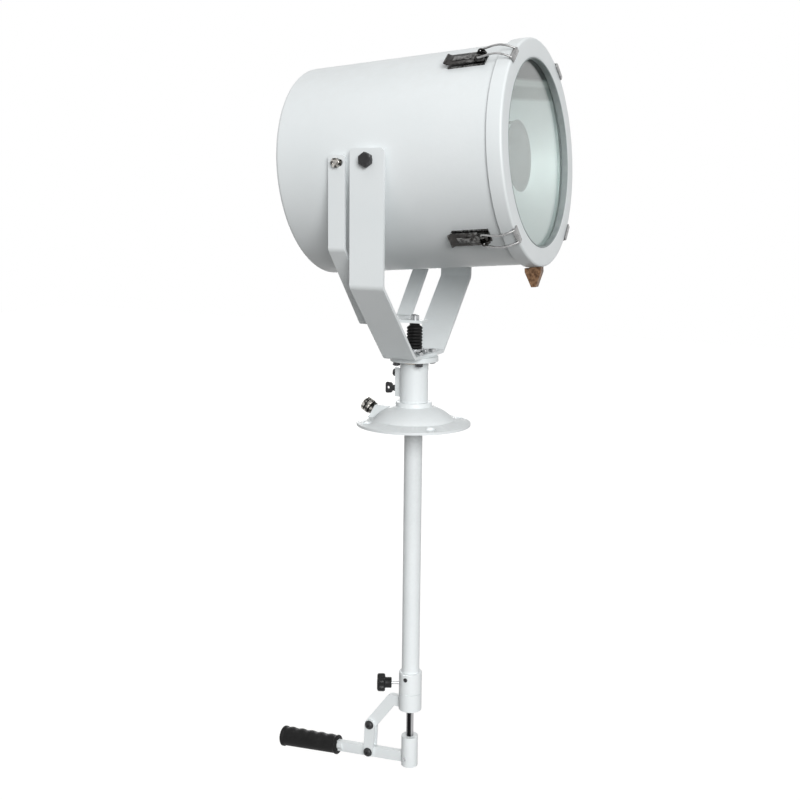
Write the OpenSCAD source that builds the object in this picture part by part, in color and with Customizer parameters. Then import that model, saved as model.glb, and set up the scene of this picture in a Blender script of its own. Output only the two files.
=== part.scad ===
// Marine searchlight, panned and tilted by hand from the cabin below it
// Millimetres, Z up, beam towards +X, origin at the centre of the base's underside

/* [Lamp drum] */
// Outside diameter of the drum
drum_d = 367; // [350:1:384]
// Length of the drum behind the trunnion axis
drum_back_len = 180; // [170:1:195]
// Length of the drum ahead of the trunnion axis
drum_front_len = 210; // [202:1:222]
// Sheet thickness of the drum
drum_sheet = 2; // [1.5:0.5:3]
// Radius of the drum's rear corner
drum_corner = 7; // [4:1:14]
// Angle by which the beam points up at rest
rest_tilt = 4; // [0:0.5:6]

/* [Front ring] */
// How far the ring stands out from the drum
bezel_proud = 5; // [4.6:0.1:7.6]
// Length of the ring along the beam
bezel_len = 26; // [24:1:30]
// Thickness of the ring's front lip
bezel_lip = 7; // [5:0.5:9]
// Distance from the drum's surface in to the edge of the clear opening
window_inset = 27; // [24:0.5:36]
// Thickness of the front glass
glass_t = 6; // [5:0.5:8]
// Thickness of each rubber seal
seal_t = 3; // [2:0.5:4]
// Thickness of the glass seal's sleeve inside the front ring's opening
seal_sleeve = 2; // [1.5:0.25:3]

/* [Reflector and bulb] */
// Focal length of the reflector
reflector_focus = 44; // [42:0.5:48]
// Distance from the drum's surface in to the reflector's bright rim
reflector_inset = 20.5; // [18:0.5:25]
// Diameter of the bulb's glass
bulb_d = 32; // [28:1:36]
// Diameter of the shield ahead of the bulb
shield_d = 120; // [112:1:126]

/* [Latches] */
// Angle of the upper latches above the trunnion axis
latch_up_angle = 52; // [46:1:56]
// Angle of the lower latches below the trunnion axis
latch_low_angle = 45; // [40:1:50]
// Length of a latch lever behind its pivot
latch_len = 64; // [56:1:74]
// Width of a latch lever
latch_w = 28; // [26:1:32]
// Wire diameter of a latch bail
latch_wire = 4; // [3:0.5:4.5]
// Width of the claw that grips the front ring
claw_w = 32; // [30:1:42]

/* [Yoke] */
// Height of the trunnion axis above the roof
trunnion_z = 468; // [460:1:485]
// Diameter of the trunnion bolts
trunnion_d = 14; // [12:0.5:16]
// Width of the yoke bar
yoke_w = 62; // [56:1:66]
// Thickness of the yoke bar
yoke_t = 6; // [5:0.5:8]
// Space between the drum and each yoke arm
yoke_gap = 5.5; // [5:0.5:8]
// Half length of the yoke's flat foot
foot_half = 64; // [58:1:70]
// Height of the bend where the arms turn upright
yoke_bend_z = 261; // [248:1:270]

/* [Tilt yoke] */
// Distance from the trunnion axis back to the tilt pins
tilt_arm = 57; // [54:0.5:62]
// Width of the tilt yoke bar
tilt_w = 31; // [27:1:33]
// Thickness of the tilt yoke bar
tilt_t = 5; // [4:0.5:6]
// Height of the underside of the tilt yoke's plate at rest
tilt_plate_z = 188; // [182:1:194]
// Height of the bend where the tilt yoke's arms turn upright
tilt_bend_z = 322; // [304:1:335]
// Diameter of the tilt pins
tilt_pin_d = 10; // [8:0.5:12]

/* [Base and column] */
// Diameter of the base flange
base_d = 210; // [200:1:230]
// Thickness of the base flange where it meets the dome
base_t = 10; // [9:0.5:13]
// Thickness of the base flange at its edge
base_edge_t = 4.5; // [4:0.5:7]
// Height of the base casting
base_top = 43; // [41:1:48]
// Width of the flange outside the dome
flange_land = 31; // [28:0.5:34]
// Diameter of the ring on top of the dome
neck_d = 67; // [63:1:70]
// Distance from the flange's edge in to the middle of the bolt holes
bolt_inset = 15.5; // [14:0.5:18]
// Diameter of the holes in the base flange
bolt_hole_d = 11; // [9:0.5:13]
// Diameter of the column
column_d = 52; // [50:0.5:54]
// Height of the column's top face
column_top = 114.7; // [108:0.1:120]

/* [Pan tube] */
// Outside diameter of the pan tube
tube_d = 33.7; // [32:0.1:35]
// Wall of the pan tube
tube_wall = 3.2; // [2.5:0.1:4]
// Length of the pan tube below the roof
tube_drop = 524; // [450:1:640]
// Diameter of the plate that carries the yoke
plate_d = 88; // [86:1:96]
// Thickness of the plate that carries the yoke
plate_t = 9; // [8:0.1:12]

/* [Push rod and handle] */
// Diameter of the push rod
rod_d = 14; // [12:0.5:15]
// Diameter of the collar and the bracket
collar_d = 44; // [42:0.5:48]
// Length of the collar
collar_len = 42; // [37:1:50]
// Length of the bracket's round end below the collar
bracket_len = 34; // [30:1:40]
// Drop from the bracket to the upper pivot of the handle link
pivot_drop = 49; // [45:0.5:54]
// Diameter of the block at the rod's lower end
block_d = 32; // [31:0.5:36]
// Distance between the pivots of the handle link
link_len = 58; // [54:1:62]
// Distance from the tube's axis to the lever's pivot
lever_reach = 86; // [82:0.2:92]
// Height of the lever bar
lever_h = 21; // [19:0.5:23]
// Thickness of the lever bar
lever_t = 10; // [8:0.5:11]
// Angle by which the grip droops at rest
lever_droop = 4; // [2.5:0.5:6]
// Length of the grip
grip_len = 127; // [114:1:140]
// Diameter of the grip
grip_d = 40; // [36:1:44]

/* [Hidden] */
// Gap between faces of pieces that move past each other
run_gap = 0.3;
// Radial clearance of a shaft in its bearing
run_fit = 0.06;
// Radial clearance between pieces that are fixed together
seat = 0.05;
// Extra length that lets a cut pass right through
cut = 1;
$fn = 96;

// Lamp stations along the beam, from the trunnion axis
drum_r = drum_d / 2;
bezel_r = drum_r + bezel_proud;
glass_x = drum_front_len + seal_t;
lip_x = glass_x + glass_t + seal_t;
bezel_front = lip_x + bezel_lip;
bezel_rear = bezel_front - bezel_len;
bezel_wall = 4;
bezel_edge = 4;
drum_lip_w = 16;
seal_r = drum_r - 1;
glass_over = 0.5;
glass_r = drum_r + glass_over;
window_r = drum_r - window_inset;

// Reflector, bulb and shield
reflector_t = 3;
reflector_r = drum_r - reflector_inset;
reflector_flange_w = 13;
reflector_flange = reflector_r + reflector_flange_w;
reflector_rim_x = drum_front_len - drum_sheet;
vertex_x = reflector_rim_x - pow(reflector_r, 2) / (4 * reflector_focus);
vertex_hole_r = 34;
holder_back = 15;
holder_x = vertex_x - holder_back;
holder_r = 22;
holder_flange_t = 4;
holder_flange_r = 65;
holder_tube_r = 26;
post_circle_r = shield_d / 2 - 4;
post_r = 2.5;
shield_back = 24;
shield_x = drum_front_len - shield_back;
shield_t = 2;
shield_rim = 8;
shield_curve = 110;
bulb_r = bulb_d / 2;
bulb_lift = 7;
bulb_foot_x = vertex_x + bulb_lift;
bulb_len = 70;
bulb_cap_r = 13;

// Trunnion and tilt pivots
boss_r = 20;
boss_proud = 3;
boss_depth = 22;
boss_y = drum_r + boss_proud;
arm_in = drum_r + yoke_gap;
arm_out = arm_in + yoke_t;
trunnion_head = 1.8 * trunnion_d;
trunnion_head_h = 8;
washer_t = 1.5;
tilt_gap = 4;
tilt_in = drum_r + tilt_gap;
tilt_out = tilt_in + tilt_t;
tilt_pad_r = 12;
tilt_pad_depth = 12;
tilt_pin_r = tilt_pin_d / 2;
tilt_pin_z = trunnion_z - tilt_arm * sin(rest_tilt);
tilt_play = 0.6;
tilt_max = 26;
tilt_strap_x = -tilt_arm;
tilt_half = 77;
tongue_w = 30;
tongue_tip = 20;

// Yoke foot, plate and bolts
thrust_t = 3;
plate_z = column_top + thrust_t + run_gap;
yoke_z = plate_z + plate_t;
foot_top = yoke_z + yoke_t;
yoke_over = 19;
yoke_top = trunnion_z + yoke_over;
tilt_over = 13;
tilt_top = tilt_pin_z + tilt_over;
bend_r = 8;
bend_steps = 8;
foot_bore = 13.2;
yoke_bolt_r = 4;
yoke_bolt_x = 22.5;
yoke_bolt_y = 28.5;
yoke_head = 15;
yoke_head_h = 5.3;
yoke_nut_h = 6.5;
arm_corner = 6;

// Bellows and its clamp
clamp_h = 8;
clamp_in = 13;
clamp_out = 18;
bellows_r = 14.5;
bellows_wall = 1.5;
bellows_neck_r = rod_d / 2 + 2;
bellows_h = tilt_plate_z - foot_top;

// Base, column and their screws
neck_ring_h = 8;
neck_z = base_top - neck_ring_h;
dome_d = base_d - 2 * flange_land;
bolt_circle = base_d - 2 * bolt_inset;
spot_d = 18;
dome_bulge = 3.5;
dome_chord = norm([dome_d - neck_d, 2 * (neck_z - base_t)]) / 2;
dome_r = (pow(dome_chord, 2) / 4 + pow(dome_bulge, 2)) / (2 * dome_bulge);
dome_out = [neck_z - base_t, (dome_d - neck_d) / 2] / dome_chord;
dome_mid = [(dome_d + neck_d) / 4, (neck_z + base_t) / 2];
dome_c = dome_mid - dome_out * (dome_r - dome_bulge);
base_wall = 6;
spigot_len = 12;
spigot_r = column_d / 2 - 2;
bush_r = tube_d / 2 + 5;
bush_len = 15;
pad_proud = 7.5;
pad_x = column_d / 2 + pad_proud;
pad_w = 22;
pad_low = base_top + neck_ring_h;
pad_gap = 10;
pad_high = column_top - pad_gap;
screw_r = 4;
wing_up = 14;
wing_z = pad_low + wing_up;
set_down = 11;
set_z = pad_high - set_down;
set_head = 14;
set_head_h = 8;
wing_hub_r = 6;
wing_hub_len = 6;
wing_span = 21;
wing_reach = 23.5;
wing_hole_r = 2.6;
wing_t = 3.5;

// Cable gland on its slanted face
gland_tilt = 30;
gland_up = 10.4;
gland_out = 5.7;
gland_z = base_t + gland_up;
gland_x = -(dome_d / 2 + gland_out);
gland_thread_r = 9;
gland_thread_len = 16;
gland_hex = 26;
gland_hex_h = 7;
gland_neck_h = 6;
gland_neck_r = 8.5;
gland_bore_r = 5.5;
gland_seal_h = 5;
gland_seal_r = 4.5;
gland_nut_r = 13.5;
gland_cap_h = 7;
gland_boss_w = 28;
gland_boss_top = neck_z - 3;

// Lower end of the tube
collar_r = collar_d / 2;
collar_z = -tube_drop;
bracket_z = collar_z - bracket_len;
guide_wall = 3;
guide_len = 20;
knob_up = 0.42 * collar_len;
knob_z = collar_z + knob_up;
knob_facing = 204;
knob_stud_r = 3;
knob_hub_r = 10.2;
knob_hub_len = 12.5;
knob_r = 18;
knob_len = 15;
knob_stand = 14;
knob_lobes = 6;
collar_screw_up = 0.75 * collar_len;
collar_screw_z = collar_z + collar_screw_up;
collar_screw_r = 4;
bracket_w = 22;
pivot_r = 5;
pivot_head = 18;
pivot_head_h = 6;
pivot_step = 3;
pivot_a = [pivot_step - lever_reach, bracket_z - pivot_drop];
pivot_b = [-lever_reach, pivot_a[1] - sqrt(pow(link_len, 2) - pow(pivot_step, 2))];
elbow_out = 16;
elbow_up = 11;
bracket_elbow = [-collar_r - elbow_out, bracket_z + elbow_up];
link_w = 21;
link_t = 4;
link_in = lever_t / 2 + run_gap;
link_out = link_in + link_t;

// Lever, block and cross pin
pin_x = -5;
pin_r = 4;
pin_z = pivot_b[1] + (lever_reach + pin_x) * tan(lever_droop);
pin_arm = (lever_reach + pin_x) / cos(lever_droop);
pin_play = 0.6;
pin_slide = 3.6;
block_under = 15;
block_low = pin_z - block_under;
block_over = 45.5;
block_top = pin_z + block_over;
block_slot_over = 19.5;
block_slot_top = pin_z + block_slot_over;
block_slot_end = 12;
rod_end = 24;
rod_foot = pin_z + rod_end;
rod_stud_r = 5;
cap_r = 8;
cap_h = 9.5;
cap_top = 2;
lever_back = 71;
grip_end = 11;
tang_r = 8;
grip_ribs = 6;
grip_flare = 1.5;

// Latch pivots, measured outward from the drum's surface
latch_back = 25;
latch_x = bezel_rear - latch_back;
claw_gap = 0.6;
claw_t = 2.8;
claw_hook = 7;
claw_z = bezel_proud + claw_gap;
claw_front_gap = 0.4;
claw_x = bezel_front - latch_x + claw_front_gap;
wire_r = latch_wire / 2;
latch_throw = 7;
latch_foot_t = 2.8;
latch_ear_r = 4.6;
latch_lift = 0.8;
bail_x = -latch_throw * cos(45);
latch_z = latch_foot_t + latch_ear_r + latch_lift;
bail_z = latch_z + latch_throw * sin(45);
latch_ear_in = 4.5;
latch_ear_out = 7;
latch_cheek_in = latch_ear_out + 0.4;
latch_cheek_t = 2.5;
latch_pin_r = 2.5;
bail_y = latch_cheek_in + latch_cheek_t + wire_r + 1.1;
latch_turns = [90 - latch_up_angle, 90 + latch_low_angle, 270 - latch_low_angle, 270 + latch_up_angle];

// Lamp's own frame: X along the beam, origin on the trunnion axis
module lamp_frame() {
  translate([0, 0, trunnion_z]) rotate([0, -rest_tilt, 0]) children();
}

// Profile drawn as radius and station, turned about the beam
module turned() {
  rotate([0, 90, 0]) rotate_extrude() children();
}

// Frame of one latch: X along the beam from its pivot, Z outward from the drum's surface
module latch_frame(turn) {
  lamp_frame() rotate([turn, 0, 0]) translate([latch_x, 0, drum_r]) children();
}

// Frame of the lever: X along the bar towards the rod, origin at its pivot
module lever_frame() {
  translate([pivot_b[0], 0, pivot_b[1]]) rotate([0, -lever_droop, 0]) children();
}

// Z axis turned to point at the given compass direction, level with the ground
module facing(direction) {
  rotate([0, 0, direction]) rotate([0, 90, 0]) children();
}

// Outline in X and Z given a thickness along Y
module upright(t) {
  rotate([90, 0, 0]) linear_extrude(height = t, center = true) children();
}

// Outline in Y and Z given a width along X
module crosswise(w) {
  rotate([90, 0, 90]) linear_extrude(height = w, center = true) children();
}

module ring(r_in, r_out, h) {
  difference() {
    cylinder(r = r_out, h = h);
    translate([0, 0, -cut]) cylinder(r = r_in, h = h + 2 * cut);
  }
}

function arc(at, r, from, to) = [
  for (k = [0:bend_steps])
    let (turn = from + (to - from) * k / bend_steps)
      at + r * [cos(turn), sin(turn)]
];

// Path mirrored to the other side and walked backwards
function flip(path) = [for (k = [len(path) - 1:-1:0]) [-path[k][0], path[k][1]]];

// Flat bar bent to a U with sloping shoulders, outline in Y and Z
module bent_bar(foot_y, foot_z, arm_y, bend_z, top_z, t) {
  down = -90;
  slope = atan2(bend_z - foot_z, arm_y - foot_y);
  r_out = bend_r + t;
  low = [foot_y - r_out * tan(slope / 2), foot_z + r_out];
  turn = slope + down;
  high = [arm_y - r_out, bend_z - r_out * tan(turn / 2)];
  outer = concat(arc(low, r_out, down, turn), arc(high, r_out, turn, 0), [[arm_y, top_z]]);
  inner = concat([[arm_y - t, top_z]], arc(high, bend_r, 0, turn), arc(low, bend_r, turn, down));
  polygon(concat(flip(outer), outer, inner, flip(inner)));
}

// Plate outline with its two upper corners rounded
module round_top(w, low, top, r) {
  translate([-w / 2, low]) square([w, top - low - r]);
  translate([r - w / 2, low]) square([w - 2 * r, top - low]);
  for (x = [r - w / 2, w / 2 - r]) translate([x, top - r]) circle(r = r);
}

// Bar outline with round ends from one point to another
module round_bar(from, to, w) {
  span = to - from;
  translate(from) rotate(atan2(span[1], span[0])) translate([0, -w / 2]) square([norm(span), w]);
  translate(from) circle(d = w);
  translate(to) circle(d = w);
}

module base_flange() {
  color("white") difference() {
    union() {
      rotate_extrude() {
        polygon([[0, 0], [base_d / 2, 0], [base_d / 2, base_edge_t], [dome_d / 2, base_t], [0, base_t]]);
        square([neck_d / 2, base_top]);
        intersection() {
          square([dome_d / 2, neck_z]);
          translate(dome_c) circle(r = dome_r, $fn = 360);
        }
      }
      upright(gland_boss_w) gland_boss_outline();
    }
    rotate_extrude() intersection() {
      translate([0, -cut]) square([dome_d / 2 - base_wall, neck_z - base_wall + cut]);
      translate(dome_c) circle(r = dome_r - base_wall, $fn = 360);
    }
    translate([0, 0, neck_z - base_wall - cut]) cylinder(r = spigot_r + seat, h = base_top);
    gland_frame() translate([0, 0, -gland_thread_len - cut])
      cylinder(r = gland_thread_r + seat, h = gland_thread_len + 2 * cut);
    for (turn = [45:90:315]) rotate(turn) translate([bolt_circle / 2, 0, 0]) {
      translate([0, 0, -cut]) cylinder(d = bolt_hole_d, h = base_t + 2 * cut);
      translate([0, 0, base_edge_t]) cylinder(d = spot_d, h = base_t);
    }
  }
}

// Block on the dome whose end face is square to the gland
module gland_boss_outline() {
  rise = gland_boss_top - gland_z;
  fall = gland_z - base_t / 2;
  polygon([
    [-neck_d / 2 + cut, base_t / 2],
    [-neck_d / 2 + cut, gland_boss_top],
    [gland_x + rise * tan(gland_tilt), gland_boss_top],
    [gland_x - fall * tan(gland_tilt), base_t / 2]
  ]);
}

// Z axis along the gland, out of the boss
module gland_frame() {
  translate([gland_x, 0, gland_z]) rotate([0, gland_tilt - 90, 0]) children();
}

module column() {
  color("white") difference() {
    union() {
      translate([0, 0, base_top]) cylinder(d = column_d, h = column_top - base_top);
      translate([0, 0, base_top - spigot_len]) cylinder(r = spigot_r, h = spigot_len + cut);
      translate([-pad_x, -pad_w / 2, pad_low]) cube([pad_x, pad_w, pad_high - pad_low]);
    }
    translate([0, 0, base_top - spigot_len - cut]) cylinder(r = bush_r + seat, h = column_top);
    translate([0, 0, wing_z]) facing(180) cylinder(r = screw_r + run_fit, h = pad_x + cut);
    translate([0, 0, set_z]) facing(180) cylinder(r = screw_r + seat, h = pad_x + cut);
  }
}

module bushes() {
  color("peru") for (z = [base_top - spigot_len, column_top - bush_len]) translate([0, 0, z])
    ring(tube_d / 2 + run_fit, bush_r, bush_len);
}

module thrust_washer() {
  color("peru") translate([0, 0, column_top]) ring(tube_d / 2 + run_gap, column_d / 2 - 1, thrust_t);
}

module gland_body() {
  color("silver") gland_frame() difference() {
    union() {
      cylinder(d = gland_hex, h = gland_hex_h, $fn = 6);
      translate([0, 0, -gland_thread_len]) cylinder(r = gland_thread_r, h = gland_thread_len + cut);
      cylinder(r = gland_neck_r, h = gland_hex_h + gland_neck_h);
    }
    translate([0, 0, -gland_thread_len - cut])
      cylinder(r = gland_bore_r, h = gland_thread_len + gland_hex_h + gland_neck_h + 2 * cut);
  }
}

module gland_seal() {
  color("dimgray") gland_frame() translate([0, 0, gland_hex_h + gland_neck_h])
    ring(gland_seal_r, gland_neck_r, gland_seal_h);
}

module gland_nut() {
  inside = gland_neck_h + gland_seal_h;
  color("silver") gland_frame() translate([0, 0, gland_hex_h]) difference() {
    cylinder(r = gland_nut_r, h = inside + gland_cap_h);
    translate([0, 0, -cut]) cylinder(r = gland_neck_r + seat, h = inside + cut);
    cylinder(r = gland_bore_r, h = inside + gland_cap_h + cut);
  }
}

module set_screw() {
  shank = pad_x - bush_r;
  color("dimgray") translate([-pad_x, 0, set_z]) facing(180) {
    cylinder(d = set_head, h = set_head_h, $fn = 6);
    translate([0, 0, -shank]) cylinder(r = screw_r, h = shank + cut);
  }
}

module wing_screw() {
  tip = tube_d / 2 + run_gap;
  hub = pad_x + run_gap;
  color("dimgray") translate([0, 0, wing_z]) {
    facing(180) {
      translate([0, 0, tip]) cylinder(r = screw_r, h = hub + wing_hub_len - tip);
      translate([0, 0, hub]) cylinder(r = wing_hub_r, h = wing_hub_len);
    }
    translate([-hub, 0, 0]) upright(wing_t) wing_outline();
  }
}

// Flat thumb piece, narrow behind the hub and spread at its end, with a round eye
module wing_outline() {
  waist = wing_hub_len + 1;
  flare = waist + 5;
  corner = 2.5;
  half = [wing_hub_r, wing_hub_r / 2, wing_span / 2 - 1, wing_span / 2, wing_span / 2 - corner];
  along = [-cut, -waist, -flare, corner - wing_reach, -wing_reach];
  upper = [for (k = [0:4]) [along[k], half[k]]];
  lower = [for (k = [4:-1:0]) [along[k], -half[k]]];
  difference() {
    polygon(concat(upper, lower));
    translate([-(flare + wing_reach) / 2, 0]) circle(r = wing_hole_r);
  }
}

module pan_tube() {
  color("white") difference() {
    translate([0, 0, -tube_drop]) ring(tube_d / 2 - tube_wall, tube_d / 2, tube_drop + yoke_z);
    translate([0, 0, knob_z]) facing(knob_facing) cylinder(r = knob_stud_r + run_fit, h = tube_d);
  }
}

module top_plate() {
  color("white") difference() {
    translate([0, 0, plate_z]) ring(tube_d / 2 + seat, plate_d / 2, plate_t);
    at_yoke_bolts() translate([0, 0, plate_z - cut])
      cylinder(r = yoke_bolt_r + seat, h = plate_t + 2 * cut);
  }
}

module at_yoke_bolts() {
  for (x = [-yoke_bolt_x, yoke_bolt_x], y = [-yoke_bolt_y, yoke_bolt_y]) translate([x, y, 0]) children();
}

module yoke() {
  color("white") difference() {
    intersection() {
      crosswise(yoke_w) bent_bar(foot_half, yoke_z, arm_out, yoke_bend_z, yoke_top, yoke_t);
      upright(2 * arm_out + cut) round_top(yoke_w, yoke_z, yoke_top, arm_corner);
    }
    cylinder(r = foot_bore, h = trunnion_z / 2);
    at_yoke_bolts() translate([0, 0, yoke_z - cut]) cylinder(r = yoke_bolt_r + seat, h = yoke_t + 2 * cut);
    translate([0, 0, trunnion_z]) rotate([90, 0, 0])
      cylinder(r = trunnion_d / 2 + run_fit, h = 2 * arm_out + 2 * cut, center = true);
  }
}

module yoke_bolts() {
  shank = foot_top - plate_z + yoke_nut_h + cut;
  color("silver") at_yoke_bolts() translate([0, 0, foot_top]) {
    cylinder(d = yoke_head, h = yoke_head_h, $fn = 6);
    translate([0, 0, -shank]) cylinder(r = yoke_bolt_r, h = shank + cut);
  }
}

module yoke_nuts() {
  color("dimgray") at_yoke_bolts() translate([0, 0, plate_z - yoke_nut_h]) difference() {
    cylinder(d = yoke_head, h = yoke_nut_h, $fn = 6);
    translate([0, 0, -cut]) cylinder(r = yoke_bolt_r + seat, h = yoke_nut_h + 2 * cut);
  }
}

module bellows_clamp() {
  ear = 7;
  color("silver") translate([0, 0, foot_top]) {
    ring(clamp_in, clamp_out, clamp_h);
    translate([clamp_out - cut, -ear / 2, 0]) cube([ear + cut, ear, clamp_h]);
    translate([clamp_out + ear / 2, 0, clamp_h / 2]) rotate([90, 0, 0])
      cylinder(d = ear, h = 2 * ear, center = true, $fn = 6);
  }
}

// Rubber bellows: a cuff in the clamp, three folds and a neck on the rod
module bellows() {
  cuff = clamp_in - seat;
  valley = bellows_r - 2.5;
  folds = [0.24, 0.42, 0.6];
  pitch = 0.09;
  outline = concat(
    [[cuff, 0], [cuff, clamp_h]],
    [for (f = folds, k = [0, 1]) [k == 0 ? bellows_r : valley, (f + k * pitch) * bellows_h]],
    [[bellows_r, 0.78 * bellows_h], [bellows_neck_r, 0.87 * bellows_h], [bellows_neck_r, bellows_h]]
  );
  inner = [for (k = [len(outline) - 1:-1:0]) outline[k] - [bellows_wall, 0]];
  color("dimgray") translate([0, 0, foot_top]) rotate_extrude() polygon(concat(outline, inner));
}

module collar() {
  color("white") difference() {
    translate([0, 0, collar_z]) ring(tube_d / 2 + seat, collar_r, collar_len);
    translate([0, 0, knob_z]) facing(knob_facing) cylinder(r = knob_stud_r + run_fit, h = collar_d);
    translate([0, 0, collar_screw_z]) facing(270) cylinder(r = collar_screw_r / 2 + seat, h = collar_d);
  }
}

module collar_screw() {
  color("dimgray") translate([0, 0, collar_screw_z]) facing(270) {
    translate([0, 0, tube_d / 2 + seat]) cylinder(r = collar_screw_r / 2, h = collar_r - tube_d / 2);
    translate([0, 0, collar_r]) cylinder(r = collar_screw_r, h = 2);
  }
}

module bracket() {
  color("white") difference() {
    union() {
      translate([0, 0, bracket_z]) cylinder(r = collar_r, h = bracket_len);
      upright(lever_t) {
        round_bar([-collar_r / 2, bracket_elbow[1]], bracket_elbow, bracket_w);
        round_bar(bracket_elbow, pivot_a, bracket_w);
      }
    }
    translate([0, 0, bracket_z - cut])
      cylinder(r = rod_d / 2 + guide_wall + seat, h = bracket_len + 2 * cut);
    translate([pivot_a[0], 0, pivot_a[1]]) rotate([90, 0, 0])
      cylinder(r = pivot_r + seat, h = 2 * lever_t, center = true);
  }
}

// Plain bearings of the push rod, one in the bracket and one in the tube's upper end
module rod_guides() {
  color("peru") {
    translate([0, 0, bracket_z]) ring(rod_d / 2 + run_fit, rod_d / 2 + guide_wall, guide_len);
    translate([0, 0, yoke_z - guide_len])
      ring(rod_d / 2 + run_fit, tube_d / 2 - tube_wall - seat, guide_len);
  }
}

// Bolt and nut across the handle link
module pivot_bolt(at, side_gap) {
  grip_y = link_out + side_gap;
  translate([at[0], 0, at[1]]) rotate([90, 0, 0]) {
    cylinder(r = pivot_r, h = 2 * grip_y + cut, center = true);
    for (side = [0, 1]) mirror([0, 0, side]) translate([0, 0, grip_y])
      cylinder(d = pivot_head, h = pivot_head_h);
  }
}

module pivot_bolt_a() {
  color("dimgray") pivot_bolt(pivot_a, run_gap);
}

module pivot_bolt_b() {
  color("dimgray") pivot_bolt(pivot_b, 0);
}

module lock_knob() {
  tip = rod_d / 2 + run_gap;
  hub = collar_r + knob_stand;
  head = hub + knob_hub_len;
  color("dimgray") translate([0, 0, knob_z]) facing(knob_facing) difference() {
    union() {
      translate([0, 0, tip]) cylinder(r = knob_stud_r, h = head - tip);
      translate([0, 0, hub]) cylinder(r = knob_hub_r, h = knob_hub_len + cut);
      translate([0, 0, head]) cylinder(r = knob_r, h = knob_len);
    }
    for (k = [1:knob_lobes]) rotate(k * 360 / knob_lobes) translate([1.25 * knob_r, 0, head - cut])
      cylinder(r = knob_r / 2.4, h = knob_len + 2 * cut);
  }
}

// Spun drum closed at the back, with an inward lip at the front
module drum() {
  color("white") lamp_frame() difference() {
    turned() difference() {
      drum_outline(drum_r, -drum_back_len, drum_front_len, drum_corner);
      drum_outline(drum_r - drum_sheet, drum_sheet - drum_back_len, drum_front_len - drum_sheet,
        drum_corner - drum_sheet);
      translate([0, drum_front_len - drum_sheet - cut]) square([drum_r - drum_lip_w, drum_sheet + 2 * cut]);
    }
    rotate([90, 0, 0]) {
      cylinder(r = boss_r + seat, h = drum_d + cut, center = true);
      translate([-tilt_arm, 0, 0]) cylinder(r = tilt_pad_r + seat, h = drum_d + cut, center = true);
    }
  }
}

module drum_outline(r, back, front, corner) {
  translate([0, back + corner]) square([r, front - back - corner]);
  translate([0, back]) square([r - corner, front - back]);
  translate([r - corner, back + corner]) circle(r = corner);
}

// Same piece on both sides of the lamp, with Z outward along the trunnion axis
module both_sides() {
  lamp_frame() for (side = [90, -90]) rotate([side, 0, 0]) children();
}

module trunnion_bosses() {
  color("white") both_sides() translate([0, 0, boss_y - boss_depth - boss_proud])
    ring(trunnion_d / 2 + seat, boss_r, boss_depth + boss_proud);
}

module trunnion_bolts() {
  head = arm_out + run_gap;
  shank_from = boss_y - boss_depth;
  color("dimgray") both_sides() {
    translate([0, 0, shank_from]) cylinder(d = trunnion_d, h = head - shank_from + cut);
    translate([0, 0, boss_y]) cylinder(r = trunnion_d / 2 + 3, h = arm_in - run_gap - boss_y);
    translate([0, 0, head]) cylinder(r = trunnion_d / 2 + 4, h = washer_t);
    translate([0, 0, head + washer_t]) rotate(30) cylinder(d = trunnion_head, h = trunnion_head_h, $fn = 6);
  }
}

module tilt_pads() {
  color("white") both_sides() translate([-tilt_arm, 0, boss_y - tilt_pad_depth - boss_proud])
    ring(tilt_pin_r + seat, tilt_pad_r, tilt_pad_depth + boss_proud);
}

module tilt_pins() {
  head = tilt_out + run_gap;
  shank_from = boss_y - tilt_pad_depth;
  color("silver") both_sides() translate([-tilt_arm, 0, 0]) {
    translate([0, 0, shank_from]) cylinder(r = tilt_pin_r, h = head - shank_from + cut);
    translate([0, 0, boss_y]) cylinder(r = tilt_pin_r + 2, h = tilt_in - run_gap - boss_y);
    translate([0, 0, head]) cylinder(r = tilt_pin_r + 3, h = washer_t);
    translate([0, 0, head + washer_t]) cylinder(d = 3.4 * tilt_pin_r, h = tilt_pin_r, $fn = 6);
  }
}

module bezel() {
  color("white") lamp_frame() turned() {
    translate([bezel_r - bezel_wall, bezel_rear]) square([bezel_wall, bezel_len - bezel_edge]);
    translate([glass_r, bezel_rear]) square([bezel_r - glass_r, bezel_wall]);
    translate([window_r, lip_x]) square([bezel_r - bezel_edge - window_r, bezel_lip]);
    translate([bezel_r - bezel_edge, bezel_front - bezel_edge]) intersection() {
      circle(r = bezel_edge);
      square(bezel_edge);
    }
  }
}

module glass() {
  color("lightcyan") lamp_frame() translate([glass_x, 0, 0]) rotate([0, 90, 0])
    cylinder(r = glass_r, h = glass_t);
}

module front_seal() {
  color("darkslategray") lamp_frame() translate([drum_front_len, 0, 0]) rotate([0, 90, 0])
    ring(drum_r - drum_lip_w, seal_r, seal_t);
}

module glass_seal() {
  bore = window_r - seal_sleeve;
  color("darkslategray") lamp_frame() translate([glass_x + glass_t, 0, 0]) rotate([0, 90, 0]) {
    ring(bore, seal_r, seal_t);
    ring(bore, window_r, seal_t + bezel_lip);
  }
}

function reflector_x(r) = vertex_x + pow(r, 2) / (4 * reflector_focus);

module reflector() {
  steps = 16;
  radii = [for (k = [0:steps]) vertex_hole_r + (reflector_r - vertex_hole_r) * k / steps];
  front = [for (r = radii) [r, reflector_x(r)]];
  rim = [[reflector_flange, reflector_rim_x], [reflector_flange, reflector_rim_x - reflector_t]];
  back = [for (k = [steps:-1:0]) front[k] - [0, reflector_t]];
  color("gainsboro") lamp_frame() difference() {
    turned() polygon(concat(front, rim, back));
    at_posts() cylinder(r = post_r + seat, h = drum_front_len);
  }
}

module at_posts() {
  rotate([0, 90, 0]) for (turn = [0:120:240]) rotate(turn + 60) translate([post_circle_r, 0, 0]) children();
}

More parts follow.
